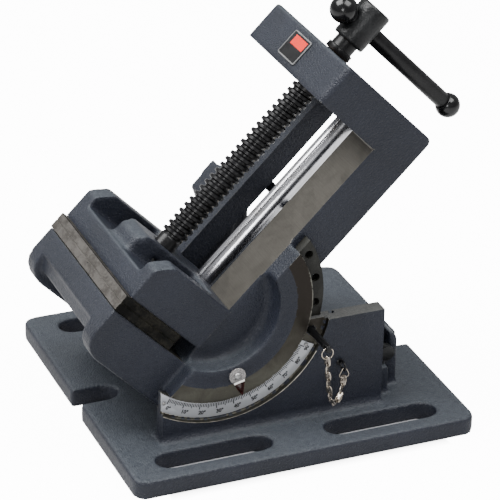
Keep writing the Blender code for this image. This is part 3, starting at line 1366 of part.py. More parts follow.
def index_pin():
    """Makes the index pin with its flattened, cross-drilled outer end."""
    x, z = pin_axis()
    frame = Matrix.Translation((x, 0, z))
    pin = rod("index_pin", frame, "y", (0, 0), PIN_RADIUS, (-PIN_OUTER_Y, -PIN_TIP_Y), SMALL_SIDES)
    bevel(pin, PIN_CHAMFER)
    flat = PIN_TANG_THICKNESS / 2
    tang = (-PIN_OUTER_Y - OVERRUN, -PIN_OUTER_Y + PIN_TANG_LENGTH)
    reach = (-PIN_RADIUS - OVERRUN, PIN_RADIUS + OVERRUN)
    for side in (-1, 1):
        outer = sorted((side * flat, side * (PIN_RADIUS + OVERRUN)))
        cut(pin, box("pin_flat", frame, outer, tang, reach))
    spot = (-PIN_OUTER_Y + PIN_CROSS_HOLE_INSET, 0)
    return cut(pin, rod("cross_hole", frame, "x", spot, PIN_CROSS_HOLE_RADIUS, reach, SMALL_SIDES))


def split_ring_centre():
    """Gives the middle of the split ring that hangs in the pin's cross hole."""
    x, z = pin_axis()
    return Vector((x, -PIN_OUTER_Y + PIN_CROSS_HOLE_INSET, z - SPLIT_RING_RADIUS + SPLIT_RING_SAG))


def split_ring():
    """Makes the ring between index pin and chain."""
    centre = split_ring_centre()
    step = 360 / (2 * SMALL_SIDES)
    circle = arc((0, 0), SPLIT_RING_RADIUS, step / 2, 360 - step / 2, 2 * SMALL_SIDES - 1)
    points = [(x, 0, z) for x, z in circle]
    return wire("split_ring", Matrix.Translation(centre), points, WIRE_DIAMETER)


def eye_loop_centre():
    """Gives the middle of the eye screw's loop."""
    inner = -WALL_OUTER_Y - GAP - EYE_COLLAR_THICKNESS
    return Vector((EYE_X, inner - EYE_INNER_LENGTH / 2 - EYE_WIRE_DIAMETER / 2, EYE_Z))


def eye_screw():
    """Makes the long-eyed screw in the front wall that the chain hangs from."""
    centre = eye_loop_centre()
    frame = Matrix.Translation((EYE_X, -WALL_OUTER_Y - GAP, EYE_Z)) @ Matrix.Rotation(math.pi / 2, 4, "X")
    profile = [
        (0, EYE_COLLAR_THICKNESS),
        (EYE_COLLAR_RADIUS, EYE_COLLAR_THICKNESS),
        (EYE_COLLAR_RADIUS, 0),
        (EYE_SHANK_RADIUS, 0),
        (EYE_SHANK_RADIUS, -EYE_SHANK_DEPTH),
        (0, -EYE_SHANK_DEPTH),
    ]
    eye = turned("eye_screw", frame, profile, SMALL_SIDES)
    half_length = (EYE_INNER_LENGTH + EYE_WIRE_DIAMETER) / 2
    half_height = (EYE_INNER_HEIGHT + EYE_WIRE_DIAMETER) / 2
    outline = stadium(half_length, half_height, ARC_STEPS + 1)
    points = [(0, y, z) for y, z in outline]
    return join(eye, wire("eye_loop", Matrix.Translation(centre), points, EYE_WIRE_DIAMETER))


def chain_ring_top():
    """Gives the centre of the rounded corner by which the chain's last ring hangs in the eye."""
    centre = eye_loop_centre()
    y = centre.y - EYE_INNER_LENGTH / 2 + WIRE_DIAMETER / 2 + GAP
    return Vector((EYE_X, y, centre.z - (EYE_INNER_HEIGHT + EYE_WIRE_DIAMETER) / 2))


def chain_ring():
    """Makes the three-cornered ring between chain and eye screw."""
    radius = CHAIN_RING_CORNER
    outline = arc((0, 0), radius, 150, 30, ARC_STEPS * 2)
    outline += arc((CHAIN_RING_HALF_BASE, -CHAIN_RING_DROP), radius, 15, -90, ARC_STEPS)
    outline += arc((-CHAIN_RING_HALF_BASE, -CHAIN_RING_DROP), radius, -90, -195, ARC_STEPS)
    points = [(x, 0, z) for x, z in outline]
    return wire("chain_ring", Matrix.Translation(chain_ring_top()), points, WIRE_DIAMETER)


def chain_ends():
    """Gives the joints where the chain hangs in the split ring and in the three-cornered ring."""
    hook = Vector((0, 0, (WIRE_DIAMETER + LINK_SLACK) / 2))
    first = split_ring_centre() - Vector((0, 0, SPLIT_RING_RADIUS)) + hook
    last = chain_ring_top() - Vector((0, 0, CHAIN_RING_DROP + CHAIN_RING_CORNER)) + hook
    return first, last


def hanging_curve(first, last, length, samples):
    """Lists points of a chain of the given length that hangs between two places."""
    across = Vector((last.x - first.x, last.y - first.y, 0))
    span = across.length
    rise = last.z - first.z
    tight, slack = span / LINK_COUNT / 2, span * LINK_COUNT
    for _ in range(60):
        scale = (tight + slack) / 2
        if 2 * scale * math.sinh(span / 2 / scale) > math.sqrt(length**2 - rise**2):
            tight = scale
        else:
            slack = scale
    lowest = span / 2 - scale * math.asinh(rise / 2 / scale / math.sinh(span / 2 / scale))
    points = []
    for i in range(samples + 1):
        run = span * i / samples
        drop_z = scale * (math.cosh((run - lowest) / scale) - math.cosh(lowest / scale))
        points.append(first + across.normalized() * run + Vector((0, 0, drop_z)))
    return points


def walk_joints(points):
    """Walks the curve in chords of one pitch and lists the joints between links."""
    joints = [points[0]]
    for before, after in zip(points, points[1:]):
        while (after - joints[-1]).length >= LINK_PITCH > (before - joints[-1]).length:
            low, high = 0, 1
            for _ in range(30):
                middle = (low + high) / 2
                if (before.lerp(after, middle) - joints[-1]).length < LINK_PITCH:
                    low = middle
                else:
                    high = middle
            joints.append(before.lerp(after, high))
    return joints


def chain_joints():
    """Lists all joints of the chain, on a curve just long enough for whole pitches."""
    first, last = chain_ends()
    length = LINK_COUNT * LINK_PITCH
    for _ in range(12):
        points = hanging_curve(first, last, length, FINE_SIDES * 4)
        joints = walk_joints(points)[:LINK_COUNT]
        length += LINK_PITCH - (last - joints[-1]).length
    return joints + [last]


def chain():
    """Makes the chain's links, each turned a quarter against its neighbours."""
    joints = chain_joints()
    across = Vector((joints[-1].x - joints[0].x, joints[-1].y - joints[0].y, 0)).normalized()
    sideways = Vector((0, 0, 1)).cross(across)
    outline = stadium(LINK_CENTRE_LENGTH / 2, LINK_HALF_WIDTH)
    links = []
    for number, (before, after) in enumerate(zip(joints, joints[1:]), 1):
        along = (after - before).normalized()
        width = sideways if number % 2 else sideways.cross(along).normalized()
        normal = along.cross(width).normalized()
        turn = Matrix((along, width, normal)).transposed().to_4x4()
        frame = Matrix.Translation((before + after) / 2) @ turn
        points = [(x, y, 0) for x, y in outline]
        links.append(wire(f"chain_link_{number:02d}", frame, points, WIRE_DIAMETER))
    return links


def body_marker(name, frame):
    """Adds an empty on a joint axis, which carries the pieces that move together."""
    marker = bpy.data.objects.new(name, None)
    marker.matrix_world = frame
    marker.empty_display_size = HEAD_RADIUS
    HELPERS.objects.link(marker)
    return marker


def carry(marker, pieces):
    """Parents the pieces to their body's marker without moving them."""
    bpy.context.view_layer.update()
    for piece in pieces:
        piece.parent = marker
        piece.matrix_parent_inverse = marker.matrix_world.inverted()


def finish(pieces, look):
    """Gives each piece its own material with the look's colour."""
    colour, metallic, roughness = look
    for piece in pieces:
        material = bpy.data.materials.new(piece.name + "_finish")
        material.use_nodes = True
        shader = material.node_tree.nodes["Principled BSDF"]
        shader.inputs["Base Color"].default_value = (*colour, 1)
        shader.inputs["Metallic"].default_value = metallic
        shader.inputs["Roughness"].default_value = roughness
        material.diffuse_color = (*colour, 1)
        piece.data.materials.clear()
        piece.data.materials.append(material)


def smooth(pieces):
    """Shades round pieces smooth."""
    for piece in pieces:
        for face in piece.data.polygons:
            face.use_smooth = True


def build():
    """Makes every piece, gives it a finish and hangs it on the body that it moves with."""
    base = [base_casting(), scale_plate(), eye_screw(), clamp_washer(), clamp_nut()]
    base += [scale_rivet(f"scale_rivet_{i}", angle) for i, angle in enumerate(rivet_angles(), 1)]
    clamp = clamp_bolt()
    fixed_plates, moving_plates = jaw_plates_and_screws()
    bed = [vise_body(), spindle_nut(), guide_rod(), badge_plate(), pointer(), pointer_screw()]
    jaw = [moving_jaw(), thrust_button(), *retaining_pins(), *keepers_and_screws()]
    spindle_piece = spindle()
    handle_pieces = handle()
    pin_pieces = [index_pin(), split_ring(), chain_ring(), *chain()]
    finish([base[0], bed[0], jaw[0]], CAST_PAINT)
    finish([base[1]], SCALE_SILVER)
    finish([base[2], clamp, spindle_piece, *handle_pieces, pin_pieces[0]], BLACK_OXIDE)
    finish([*base[3:], bed[5], *jaw[1:]], BRIGHT_STEEL)
    finish([fixed_plates[0], moving_plates[0]], MACHINED_IRON)
    finish([*fixed_plates[1:], *moving_plates[1:]], BLACK_OXIDE)
    finish([bed[1]], BRONZE)
    finish([bed[2]], CHROME)
    finish([bed[3]], BADGE_BLACK)
    finish([bed[4]], CLEAR_PLASTIC)
    finish(pin_pieces[1:], BRIGHT_STEEL)
    smooth([*pin_pieces[1:], *handle_pieces[1:]])
    bar_frame = SPINDLE_LINE @ Matrix.Translation((BAR_U, 0, 0))
    pin_x, pin_z = pin_axis()
    carry(body_marker("bed_tilt_axis", BED), bed + fixed_plates)
    carry(body_marker("jaw_slide_axis", SPINDLE_LINE), jaw + moving_plates)
    carry(body_marker("spindle_axis", SPINDLE_LINE), [spindle_piece])
    carry(body_marker("handle_slide_axis", bar_frame), handle_pieces)
    carry(body_marker("pin_slide_axis", Matrix.Translation((pin_x, 0, pin_z))), pin_pieces)
    carry(body_marker("clamp_bolt_axis", clamp_frame()), [clamp])


build()
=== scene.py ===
"""Dressed model of a tilting drill-press vise, with its studio.

Metres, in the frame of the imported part: +X towards the handle, -Y the front with the degree
scale, +Z up from the underside of the base. Bed coordinates are U towards the handle, Y, and
W up from the bed, with the tilt axis through their origin.
"""

import logging
import math
from collections.abc import Iterable, Sequence
from dataclasses import dataclass, replace
from enum import Enum
from functools import reduce
from operator import and_, or_

import bmesh
import bpy
import numpy as np
from mathutils import Matrix, Vector


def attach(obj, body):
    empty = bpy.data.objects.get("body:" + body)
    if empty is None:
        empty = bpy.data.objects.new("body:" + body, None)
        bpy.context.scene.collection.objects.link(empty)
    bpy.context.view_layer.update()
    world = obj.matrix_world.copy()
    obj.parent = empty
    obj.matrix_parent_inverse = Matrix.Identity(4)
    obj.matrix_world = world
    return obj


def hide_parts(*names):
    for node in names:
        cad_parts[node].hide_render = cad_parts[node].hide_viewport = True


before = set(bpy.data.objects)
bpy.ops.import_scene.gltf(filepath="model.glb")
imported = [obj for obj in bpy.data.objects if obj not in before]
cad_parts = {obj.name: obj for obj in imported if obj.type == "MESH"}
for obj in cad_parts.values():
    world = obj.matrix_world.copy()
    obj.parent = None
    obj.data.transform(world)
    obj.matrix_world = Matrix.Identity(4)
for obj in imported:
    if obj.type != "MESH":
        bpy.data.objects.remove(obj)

LOG = logging.getLogger("angle_vise")

# Height of the tilt axis over the base's underside
TILT_HEIGHT = 0.0786
PIVOT = Matrix.Translation((-0.0375, 0.0, TILT_HEIGHT))
BED = PIVOT @ Matrix.Rotation(-math.radians(45), 4, "Y")
SPINDLE_LINE = BED @ Matrix.Translation((0.0, 0.0, 0.0148))
BASE = Matrix.Identity(4)
LIE_ALONG_X = Matrix.Rotation(math.radians(90), 4, "Y")
LIE_ALONG_Y = Matrix.Rotation(math.radians(-90), 4, "X")
FACE_FRONT = Matrix.Rotation(math.radians(90), 4, "X")

# U where the handle bar crosses the spindle
HANDLE_U = 0.15581
# Points of a turned shape that are closer than this are one
MERGE_DISTANCE = 1e-7
# Share of a skin's face size within which its points belong to a machined surface
SKIN_REACH = 0.55

Colour = tuple[float, float, float]
Span = tuple[float, float]
Mesh = bpy.types.Mesh
Shape = bmesh.types.BMesh
Piece = bpy.types.Object
Material = bpy.types.Material
Tree = bpy.types.NodeTree
Node = bpy.types.Node
Socket = bpy.types.NodeSocket
Sockets = bpy.types.bpy_prop_collection


class Slot(Enum):
    """The record's material slots."""

    PAINT = "cast_paint"
    IRON = "machined_iron"
    STEEL = "bright_steel"
    OXIDE = "black_oxide"
    CHROME = "chrome"
    CHAIN = "chain_nickel"
    BRONZE = "bronze"
    SCALE = "scale_silver"
    PLASTIC = "clear_plastic"
    BADGE = "badge"


class Body(Enum):
    """The bodies that pieces ride on."""

    BASE = "base"
    BED = "bed"
    JAW = "moving_jaw"
    SPINDLE = "spindle"
    HANDLE = "handle"
    PIN = "index_pin"
    CLAMP = "clamp_bolt"


def tone(red: int, green: int, blue: int) -> Colour:
    """Turns a screen colour, 0 to 255 in each channel, into linear light.

    Args:
        red: Red channel.
        green: Green channel.
        blue: Blue channel.

    Returns:
        The linear colour.
    """
    shares = [channel / 255 for channel in (red, green, blue)]
    return tuple(s / 12.92 if s <= 0.04045 else ((s + 0.055) / 1.055) ** 2.4 for s in shares)


def lit(colour: Colour, factor: float, lift: float = 0.0) -> Colour:
    """Scales a colour and adds a lift to each channel, up to full light."""
    return tuple(min(1.0, channel * factor + lift) for channel in colour)


# Shader graphs


class Graph:
    """A node tree with short ways to add nodes and wire them."""

    def __init__(self, tree: Tree) -> None:
        """Keeps the tree that nodes are added to."""
        self.tree = tree

    def add(self, kind: str, inputs: dict | None = None, **settings: object) -> Node:
        """Adds a node.

        Args:
            kind: Blender's name of the node type, without its ShaderNode prefix.
            inputs: Values or sockets by input name or number.
            settings: Properties of the node.

        Returns:
            The new node.
        """
        node = self.tree.nodes.new("ShaderNode" + kind)
        for name, value in settings.items():
            setattr(node, name, value)
        for key, value in (inputs or {}).items():
            self.feed(node.inputs[key], value)
        return node

    def feed(self, socket: Socket, value: object) -> None:
        """Links a socket into an input, or sets the input's own value."""
        if isinstance(value, Socket):
            self.tree.links.new(value, socket)
        elif isinstance(value, tuple) and socket.type == "RGBA":
            socket.default_value = (*value[:3], 1.0)
        else:
            socket.default_value = value

    def math(self, operation: str, *values: object) -> Socket:
        """Adds a Math node over sockets or numbers and gives its output."""
        node = self.add("Math", dict(enumerate(values)), operation=operation)
        return node.outputs[0]

    def times(self, first: object, second: object) -> Socket:
        """Multiplies two sockets or numbers."""
        return self.math("MULTIPLY", first, second)

    def span(self, value: object, low: object, high: object, start: float = 0, end: float = 1) -> Socket:
        """Maps a value from one range to another, clamped.

        Args:
            value: The socket to map.
            low: Value that becomes start.
            high: Value that becomes end.
            start: Result at low.
            end: Result at high.

        Returns:
            The mapped socket.
        """
        inputs = {"Value": value, "From Min": low, "From Max": high, "To Min": start, "To Max": end}
        return self.add("MapRange", inputs, clamp=True).outputs[0]

    def blend(self, share: object, first: object, second: object) -> Socket:
        """Mixes two colours by a share and gives the mixed colour."""
        node = self.add("Mix", data_type="RGBA")
        for number, value in ((0, share), (6, first), (7, second)):
            self.feed(node.inputs[number], value)
        return node.outputs[2]

    def noise(self, place: object, scale: object, detail: float = 2.0, rough: float = 0.5) -> Socket:
        """Adds a noise texture over a vector and gives its value."""
        inputs = {"Vector": place, "Scale": scale, "Detail": detail, "Roughness": rough}
        return self.add("TexNoise", inputs).outputs[0]

    def own_place(self) -> Socket:
        """Gives the coordinates of the piece itself."""
        return self.add("TexCoord").outputs["Object"]


class Effect(Enum):
    """Effects that several finishes share, each a node group."""

    SAND_CAST = "sand_cast_skin"
    WORN_EDGES = "worn_edges"
    GRINDING = "grinding_lines"
    HANDLING = "handling_marks"


class EffectShelf:
    """Builds the shared node groups once and hands them out."""

    SOCKETS = {
        Effect.SAND_CAST: ((("Grain", 620.0),), ("Height", "Speck")),
        Effect.WORN_EDGES: ((("Reach", 0.16), ("Break Up", 900.0)), ("Mask",)),
        Effect.GRINDING: ((("Turn", 0.0), ("Fine", 5200.0), ("Long", 90.0)), ("Lines",)),
        Effect.HANDLING: ((("Patch", 38.0),), ("Cloud", "Smear")),
    }

    def __init__(self) -> None:
        """Starts with no group made."""
        self.made: dict[Effect, Tree] = {}

    def tree(self, effect: Effect) -> Tree:
        """Gives the node group of an effect, built on first use."""
        if effect not in self.made:
            group = bpy.data.node_groups.new(effect.value, "ShaderNodeTree")
            inputs, outputs = self.SOCKETS[effect]
            for name, value in inputs:
                socket = group.interface.new_socket(name, in_out="INPUT", socket_type="NodeSocketFloat")
                socket.default_value = value
            for name in outputs:
                group.interface.new_socket(name, in_out="OUTPUT", socket_type="NodeSocketFloat")
            graph = Graph(group)
            entry, leave = group.nodes.new("NodeGroupInput"), group.nodes.new("NodeGroupOutput")
            results = getattr(self, effect.value)(graph, entry.outputs)
            for name, value in zip(outputs, results):
                graph.feed(leave.inputs[name], value)
            self.made[effect] = group
        return self.made[effect]

    def use(self, graph: Graph, effect: Effect, **values: object) -> dict[str, Socket]:
        """Places an effect in a material.

        Args:
            graph: The material's graph.
            effect: Which effect.
            values: Inputs of the group, with underscores for spaces.

        Returns:
            The group's outputs by name.
        """
        node = graph.add("Group")
        node.node_tree = self.tree(effect)
        for name, value in values.items():
            graph.feed(node.inputs[name.replace("_", " ")], value)
        return {socket.name: socket for socket in node.outputs}

    @staticmethod
    def sand_cast_skin(graph: Graph, given: Sockets) -> tuple:
        """Makes the pebbled skin that moulding sand leaves under paint."""
        place = graph.own_place()
        coarse = graph.noise(place, given["Grain"], 3.0, 0.55)
        inputs = {"Vector": place, "Scale": graph.times(given["Grain"], 1.7), "Smoothness": 0.8}
        cells = graph.add("TexVoronoi", inputs, feature="SMOOTH_F1")
        broad = graph.noise(place, 90.0, 2.0)
        pebbles = graph.math("MULTIPLY_ADD", cells.outputs["Distance"], -0.7, coarse)
        height = graph.math("MULTIPLY_ADD", broad, 0.35, pebbles)
        fine = graph.noise(place, 2600.0, 1.0)
        return height, graph.span(fine, 0.66, 0.76)

    @staticmethod
    def worn_edges(graph: Graph, given: Sockets) -> tuple:
        """Makes a ragged mask along the piece's outer edges, from its wear attribute."""
        place = graph.own_place()
        wear = graph.add("Attribute", attribute_name="wear", attribute_type="GEOMETRY").outputs["Fac"]
        ragged = graph.noise(place, given["Break Up"], 4.0, 0.65)
        patchy = graph.math("SUBTRACT", graph.noise(place, 130.0, 2.0), 0.5)
        grow = graph.times(graph.math("ADD", ragged, patchy), wear)
        start = graph.times(given["Reach"], 0.62)
        return (graph.span(grow, start, given["Reach"]),)

    @staticmethod
    def grinding_lines(graph: Graph, given: Sockets) -> tuple:
        """Makes fine lines across X, turned about Y by the given angle."""
        inputs = {"Vector": graph.own_place(), "Angle": given["Turn"]}
        laid = graph.add("VectorRotate", inputs, rotation_type="Y_AXIS")
        parts = graph.add("SeparateXYZ", {0: laid.outputs[0]}).outputs
        shares = [graph.times(parts[i], given[word]) for i, word in enumerate(("Fine", "Long", "Long"))]
        place = graph.add("CombineXYZ", dict(enumerate(shares))).outputs[0]
        return (graph.noise(place, 1.0, 3.0, 0.6),)

    @staticmethod
    def handling_marks(graph: Graph, given: Sockets) -> tuple:
        """Makes broad clouds and small smears that vary colour and gloss."""
        place = graph.own_place()
        inputs = {"Vector": place, "Scale": given["Patch"], "Detail": 4.0, "Distortion": 0.6}
        cloud = graph.add("TexNoise", inputs).outputs[0]
        return cloud, graph.noise(place, 420.0, 5.0, 0.7)


EFFECTS = EffectShelf()


@dataclass(frozen=True)
class Finish:
    """A surface finish, which makes its material once.

    Attributes:
        name: Name of the material.
        colour: Linear base colour.
        roughness: Roughness where the surface is clean.
    """

    name: str
    colour: Colour
    roughness: float

    def material(self) -> Material:
        """Gives the finish's material, made on first use."""
        found = bpy.data.materials.get(self.name)
        if found is None:
            found = bpy.data.materials.new(self.name)
            found.use_nodes = True
            found.diffuse_color = (*self.colour, 1.0)
            shader = found.node_tree.nodes["Principled BSDF"]
            self.shade(Graph(found.node_tree), shader)
        return found

    def shade(self, graph: Graph, shader: Node) -> None:
        """Wires the look into the shader; each kind of finish has its own."""
        raise NotImplementedError

    @staticmethod
    def wire(graph: Graph, shader: Node, height: object, depth: float, **looks: object) -> None:
        """Wires a height into the shader's normal, and looks into its other inputs.

        Args:
            graph: The material's graph.
            shader: Its Principled shader.
            height: Socket from 0 to 1.
            depth: Depth in metres of a height of 1.
            looks: Sockets or values by the input's name, with underscores for spaces.
        """
        for name, value in looks.items():
            graph.feed(shader.inputs[name.replace("_", " ")], value)
        node = graph.add("Bump", {"Height": height, "Distance": depth, "Strength": 1.0})
        graph.feed(shader.inputs["Normal"], node.outputs[0])


@dataclass(frozen=True)
class CastPaint(Finish):
    """Dark paint over sand-cast iron, rubbed through to a paler tone along the edges.

    Attributes:
        worn: Colour of rubbed edges.
        dust_and_top_light: Colour of the pale film on surfaces that face up, partly dust and partly
            painted light that makes tops paler than sides.
        depth: Depth of the cast skin in metres.
        rubbed: Middle of a patch that is rubbed bare, in the shared frame, if there is one.
        rubbed_radius: Radius of that patch.
    """

    worn: Colour = (0.3, 0.3, 0.3)
    dust_and_top_light: Colour = (0.2, 0.2, 0.2)
    depth: float = 0.00042
    rubbed: tuple[float, float, float] | None = None
    rubbed_radius: float = 0.003

    def shade(self, graph: Graph, shader: Node) -> None:
        """Layers paint, dust with painted top light, worn edges and specks."""
        skin = EFFECTS.use(graph, Effect.SAND_CAST, Grain=840.0)
        marks = EFFECTS.use(graph, Effect.HANDLING, Patch=26.0)
        edges = EFFECTS.use(graph, Effect.WORN_EDGES, Reach=0.24)
        paint = graph.blend(graph.span(marks["Cloud"], 0.35, 0.68), lit(self.colour, 0.74), self.colour)
        # Painted light: faces that point up blend towards the dust colour, partly settled dust and partly
        # light falling on tops.
        facing = graph.add("SeparateXYZ", {0: graph.add("TexCoord").outputs["Normal"]}).outputs[2]
        patchy = graph.span(marks["Smear"], 0.3, 0.75, 0.35, 1.0)
        settled_and_top_lit = graph.times(graph.span(facing, 0.66, 0.98), patchy)
        paint = graph.blend(graph.times(settled_and_top_lit, 0.6), paint, self.dust_and_top_light)
        paint = graph.blend(graph.times(skin["Speck"], 0.5), paint, self.dust_and_top_light)
        rub = graph.times(edges["Mask"], 0.45)
        if self.rubbed is not None:
            inputs = {0: graph.own_place(), 1: self.rubbed}
            away = graph.add("VectorMath", inputs, operation="DISTANCE").outputs["Value"]
            ragged = graph.math("MULTIPLY_ADD", marks["Smear"], self.rubbed_radius, away)
            patch = graph.span(ragged, self.rubbed_radius * 1.7, self.rubbed_radius * 1.2)
            rub = graph.math("MAXIMUM", rub, graph.times(patch, 0.9))
        low, high = self.roughness - 0.06, self.roughness + 0.08
        self.wire(
            graph, shader, skin["Height"], self.depth,
            Base_Color=graph.blend(rub, paint, self.worn),
            Roughness=graph.span(marks["Smear"], 0.3, 0.7, low, high),
            Metallic=graph.times(rub, 0.6),
            Specular_IOR_Level=0.24,
        )


@dataclass(frozen=True)
class GroundMetal(Finish):
    """Bare metal with grinding lines, a film of oil and, where given, a painted reflection that dims with
    height.

    Attributes:
        stain: Darker colour of the oil film, and of the painted dim reflection where a fade is given.
        turn: Angle of the lines about Y, in degrees.
        fine: Line count for each metre.
        length: How slowly lines change along their length, for each metre.
        contrast: How much the lines change the colour.
        reflection_fade: Heights between which the metal is painted darker towards its stain, a painted
            reflection that dims higher up.
    """

    stain: Colour = (0.1, 0.1, 0.1)
    turn: float = 0.0
    fine: float = 5200.0
    length: float = 90.0
    contrast: float = 0.5
    reflection_fade: Span | None = None

    def shade(self, graph: Graph, shader: Node) -> None:
        """Layers metal, lines, stains and any painted reflection fade."""
        lines = EFFECTS.use(
            graph, Effect.GRINDING, Turn=math.radians(self.turn), Fine=self.fine, Long=self.length
        )
        marks = EFFECTS.use(graph, Effect.HANDLING, Patch=70.0)
        edges = EFFECTS.use(graph, Effect.WORN_EDGES, Reach=0.2)
        streak = graph.span(lines["Lines"], 0.3, 0.7)
        share = graph.times(streak, self.contrast)
        metal = graph.blend(share, self.colour, self.stain)
        film = graph.times(graph.span(marks["Cloud"], 0.45, 0.75), 0.5)
        metal = graph.blend(film, metal, self.stain)
        # Painted reflection: higher up the metal blends towards its stain colour, standing in for a dimmer
        # reflection there.
        if self.reflection_fade is not None:
            height = graph.add("SeparateXYZ", {0: graph.own_place()}).outputs[2]
            height = graph.math("MULTIPLY_ADD", marks["Cloud"], 0.02, height)
            metal = graph.blend(graph.span(height, *self.reflection_fade), metal, self.stain)
        bright = lit(self.colour, 1.6, 0.04)
        metal = graph.blend(graph.times(edges["Mask"], 0.7), metal, bright)
        gloss = graph.math("MULTIPLY_ADD", streak, 0.1, graph.span(marks["Smear"], 0.3, 0.7, -0.04, 0.06))
        self.wire(
            graph, shader, lines["Lines"], 0.000012,
            Base_Color=metal, Roughness=graph.math("ADD", gloss, self.roughness), Metallic=0.85,
        )


@dataclass(frozen=True)
class BlackOxide(Finish):
    """Oiled black oxide on steel, rubbed to grey on its edges.

    Attributes:
        rub: Colour where it is rubbed.
        pits: Depth in metres of the forged skin under it.
        grain: Grains of that skin for each metre.
        sheen: Specular level of the oiled surface.
    """

    rub: Colour = (0.2, 0.2, 0.2)
    pits: float = 0.00001
    grain: float = 900.0
    sheen: float = 0.5

    def shade(self, graph: Graph, shader: Node) -> None:
        """Layers oxide, rubbed edges and scratches."""
        skin = EFFECTS.use(graph, Effect.SAND_CAST, Grain=self.grain)
        marks = EFFECTS.use(graph, Effect.HANDLING, Patch=120.0)
        edges = EFFECTS.use(graph, Effect.WORN_EDGES, Reach=0.24)
        lighter = lit(self.colour, 1.7, 0.004)
        black = graph.blend(graph.span(marks["Cloud"], 0.4, 0.7), self.colour, lighter)
        specks = graph.times(skin["Speck"], 0.12)
        share = graph.math("MAXIMUM", graph.times(edges["Mask"], 0.45), specks)
        low, high = self.roughness - 0.05, self.roughness + 0.1
        self.wire(
            graph, shader, skin["Height"], self.pits,
            Base_Color=graph.blend(share, black, self.rub),
            Roughness=graph.span(marks["Smear"], 0.3, 0.7, low, high),
            Metallic=graph.times(share, 0.7),
            Specular_IOR_Level=self.sheen,
        )


@dataclass(frozen=True)
class Plated(Finish):
    """Bright plating over turned metal.

    Attributes:
        haze: Colour of the dulled parts.
        turn: Angle of the turning lines about Y, in degrees.
    """

    haze: Colour = (0.4, 0.4, 0.4)
    turn: float = 0.0

    def shade(self, graph: Graph, shader: Node) -> None:
        """Layers bright metal, haze and faint turning lines."""
        lines = EFFECTS.use(graph, Effect.GRINDING, Turn=math.radians(self.turn), Fine=7000.0, Long=14.0)
        marks = EFFECTS.use(graph, Effect.HANDLING, Patch=85.0)
        low, high = self.roughness, self.roughness + 0.08
        self.wire(
            graph, shader, lines["Lines"], 0.0000003,
            Base_Color=graph.blend(graph.span(marks["Cloud"], 0.5, 0.8), self.colour, self.haze),
            Roughness=graph.span(marks["Cloud"], 0.35, 0.8, low, high),
            Metallic=1.0,
        )


@dataclass(frozen=True)
class ClearPointer(Finish):
    """Clear plastic whose far end is painted, beyond a radius from the tilt axis.

    Attributes:
        paint: Colour of the painted end.
        paint_radius: Distance from the tilt axis where the paint starts.
    """

    paint: Colour = (0.5, 0.05, 0.04)
    paint_radius: float = 0.0462

    def shade(self, graph: Graph, shader: Node) -> None:
        """Paints the tip by its distance from the tilt axis."""
        away = graph.add("VectorMath", {0: graph.own_place(), 1: PIVOT.translation}, operation="SUBTRACT")
        flat = graph.add("VectorMath", {0: away.outputs[0], 1: (1.0, 0.0, 1.0)}, operation="MULTIPLY")
        reach = graph.add("VectorMath", {0: flat.outputs[0]}, operation="LENGTH").outputs["Value"]
        marks = EFFECTS.use(graph, Effect.HANDLING, Patch=300.0)
        painted = graph.span(reach, self.paint_radius - 0.0001, self.paint_radius + 0.0001)
        low, high = self.roughness, self.roughness + 0.1
        self.wire(
            graph, shader, marks["Smear"], 0.000003,
            Base_Color=graph.blend(painted, self.colour, self.paint),
            Roughness=graph.span(marks["Smear"], 0.4, 0.8, low, high),
            Transmission_Weight=0.85,
            IOR=1.49,
        )


@dataclass(frozen=True)
class Enamel(Finish):
    """Smooth enamel or ink with faint scuffs.

    Attributes:
        scuff: Colour of the scuffs.
        metallic: Share of metal in the look.
        share: How much the scuffs show.
    """

    scuff: Colour = (0.5, 0.5, 0.5)
    metallic: float = 0.0
    share: float = 0.25

    def shade(self, graph: Graph, shader: Node) -> None:
        """Layers colour and scuffs."""
        marks = EFFECTS.use(graph, Effect.HANDLING, Patch=160.0)
        scuffs = graph.times(graph.span(marks["Smear"], 0.5, 0.75), self.share)
        low, high = self.roughness - 0.04, self.roughness + 0.1
        self.wire(
            graph, shader, marks["Smear"], 0.000006,
            Base_Color=graph.blend(scuffs, self.colour, self.scuff),
            Roughness=graph.span(marks["Cloud"], 0.3, 0.7, low, high),
            Metallic=self.metallic,
        )


# The dust colour here is also painted light, paling faces that point up.
PAINT = CastPaint(
    "dark_cast_paint", tone(28, 31, 40), 0.44, worn=tone(104, 103, 98), dust_and_top_light=tone(74, 79, 83)
)
JAW_PAINT = replace(
    PAINT, name="dark_cast_paint_rubbed_boss", worn=tone(116, 113, 104),
    rubbed=(-0.0525, 0.0080, 0.1060), rubbed_radius=0.0026,
)
# Its dust colour is also painted light on faces that point up.
DUSTY_PAINT = CastPaint(
    "dusty_cast_paint", tone(50, 51, 51), 0.5, worn=tone(118, 116, 110), dust_and_top_light=tone(88, 88, 86)
)
MACHINED_CAST = GroundMetal(
    "machined_cast_iron", tone(98, 95, 89), 0.36, stain=tone(58, 56, 52), turn=45.0, contrast=0.45
)
# The turned iron's stain and height fade paint a dim reflection on the upper part of its faces.
TURNED_CAST = GroundMetal(
    "turned_cast_iron", tone(74, 73, 66), 0.38, stain=tone(33, 29, 25), fine=2600.0, length=1500.0,
    contrast=0.25, reflection_fade=(0.048, 0.082),
)
# A lit copy of the turned iron: a painted highlight for the recess's bright lips.
LIP_PAINTED_HIGHLIGHT = replace(
    TURNED_CAST, name="recess_lip_painted_highlight", colour=tone(176, 170, 158), roughness=0.3,
    stain=tone(96, 90, 80), contrast=0.3, reflection_fade=None,
)
PLATE_TOP = GroundMetal(
    "ground_plate_top", tone(74, 71, 67), 0.46, stain=tone(64, 61, 58), turn=45.0, length=400.0,
    contrast=0.3,
)
PLATE_BLACK = BlackOxide(
    "blackened_plate_sides", tone(4, 4, 3), 0.55, rub=tone(46, 44, 38), pits=0.00006, sheen=0.06
)
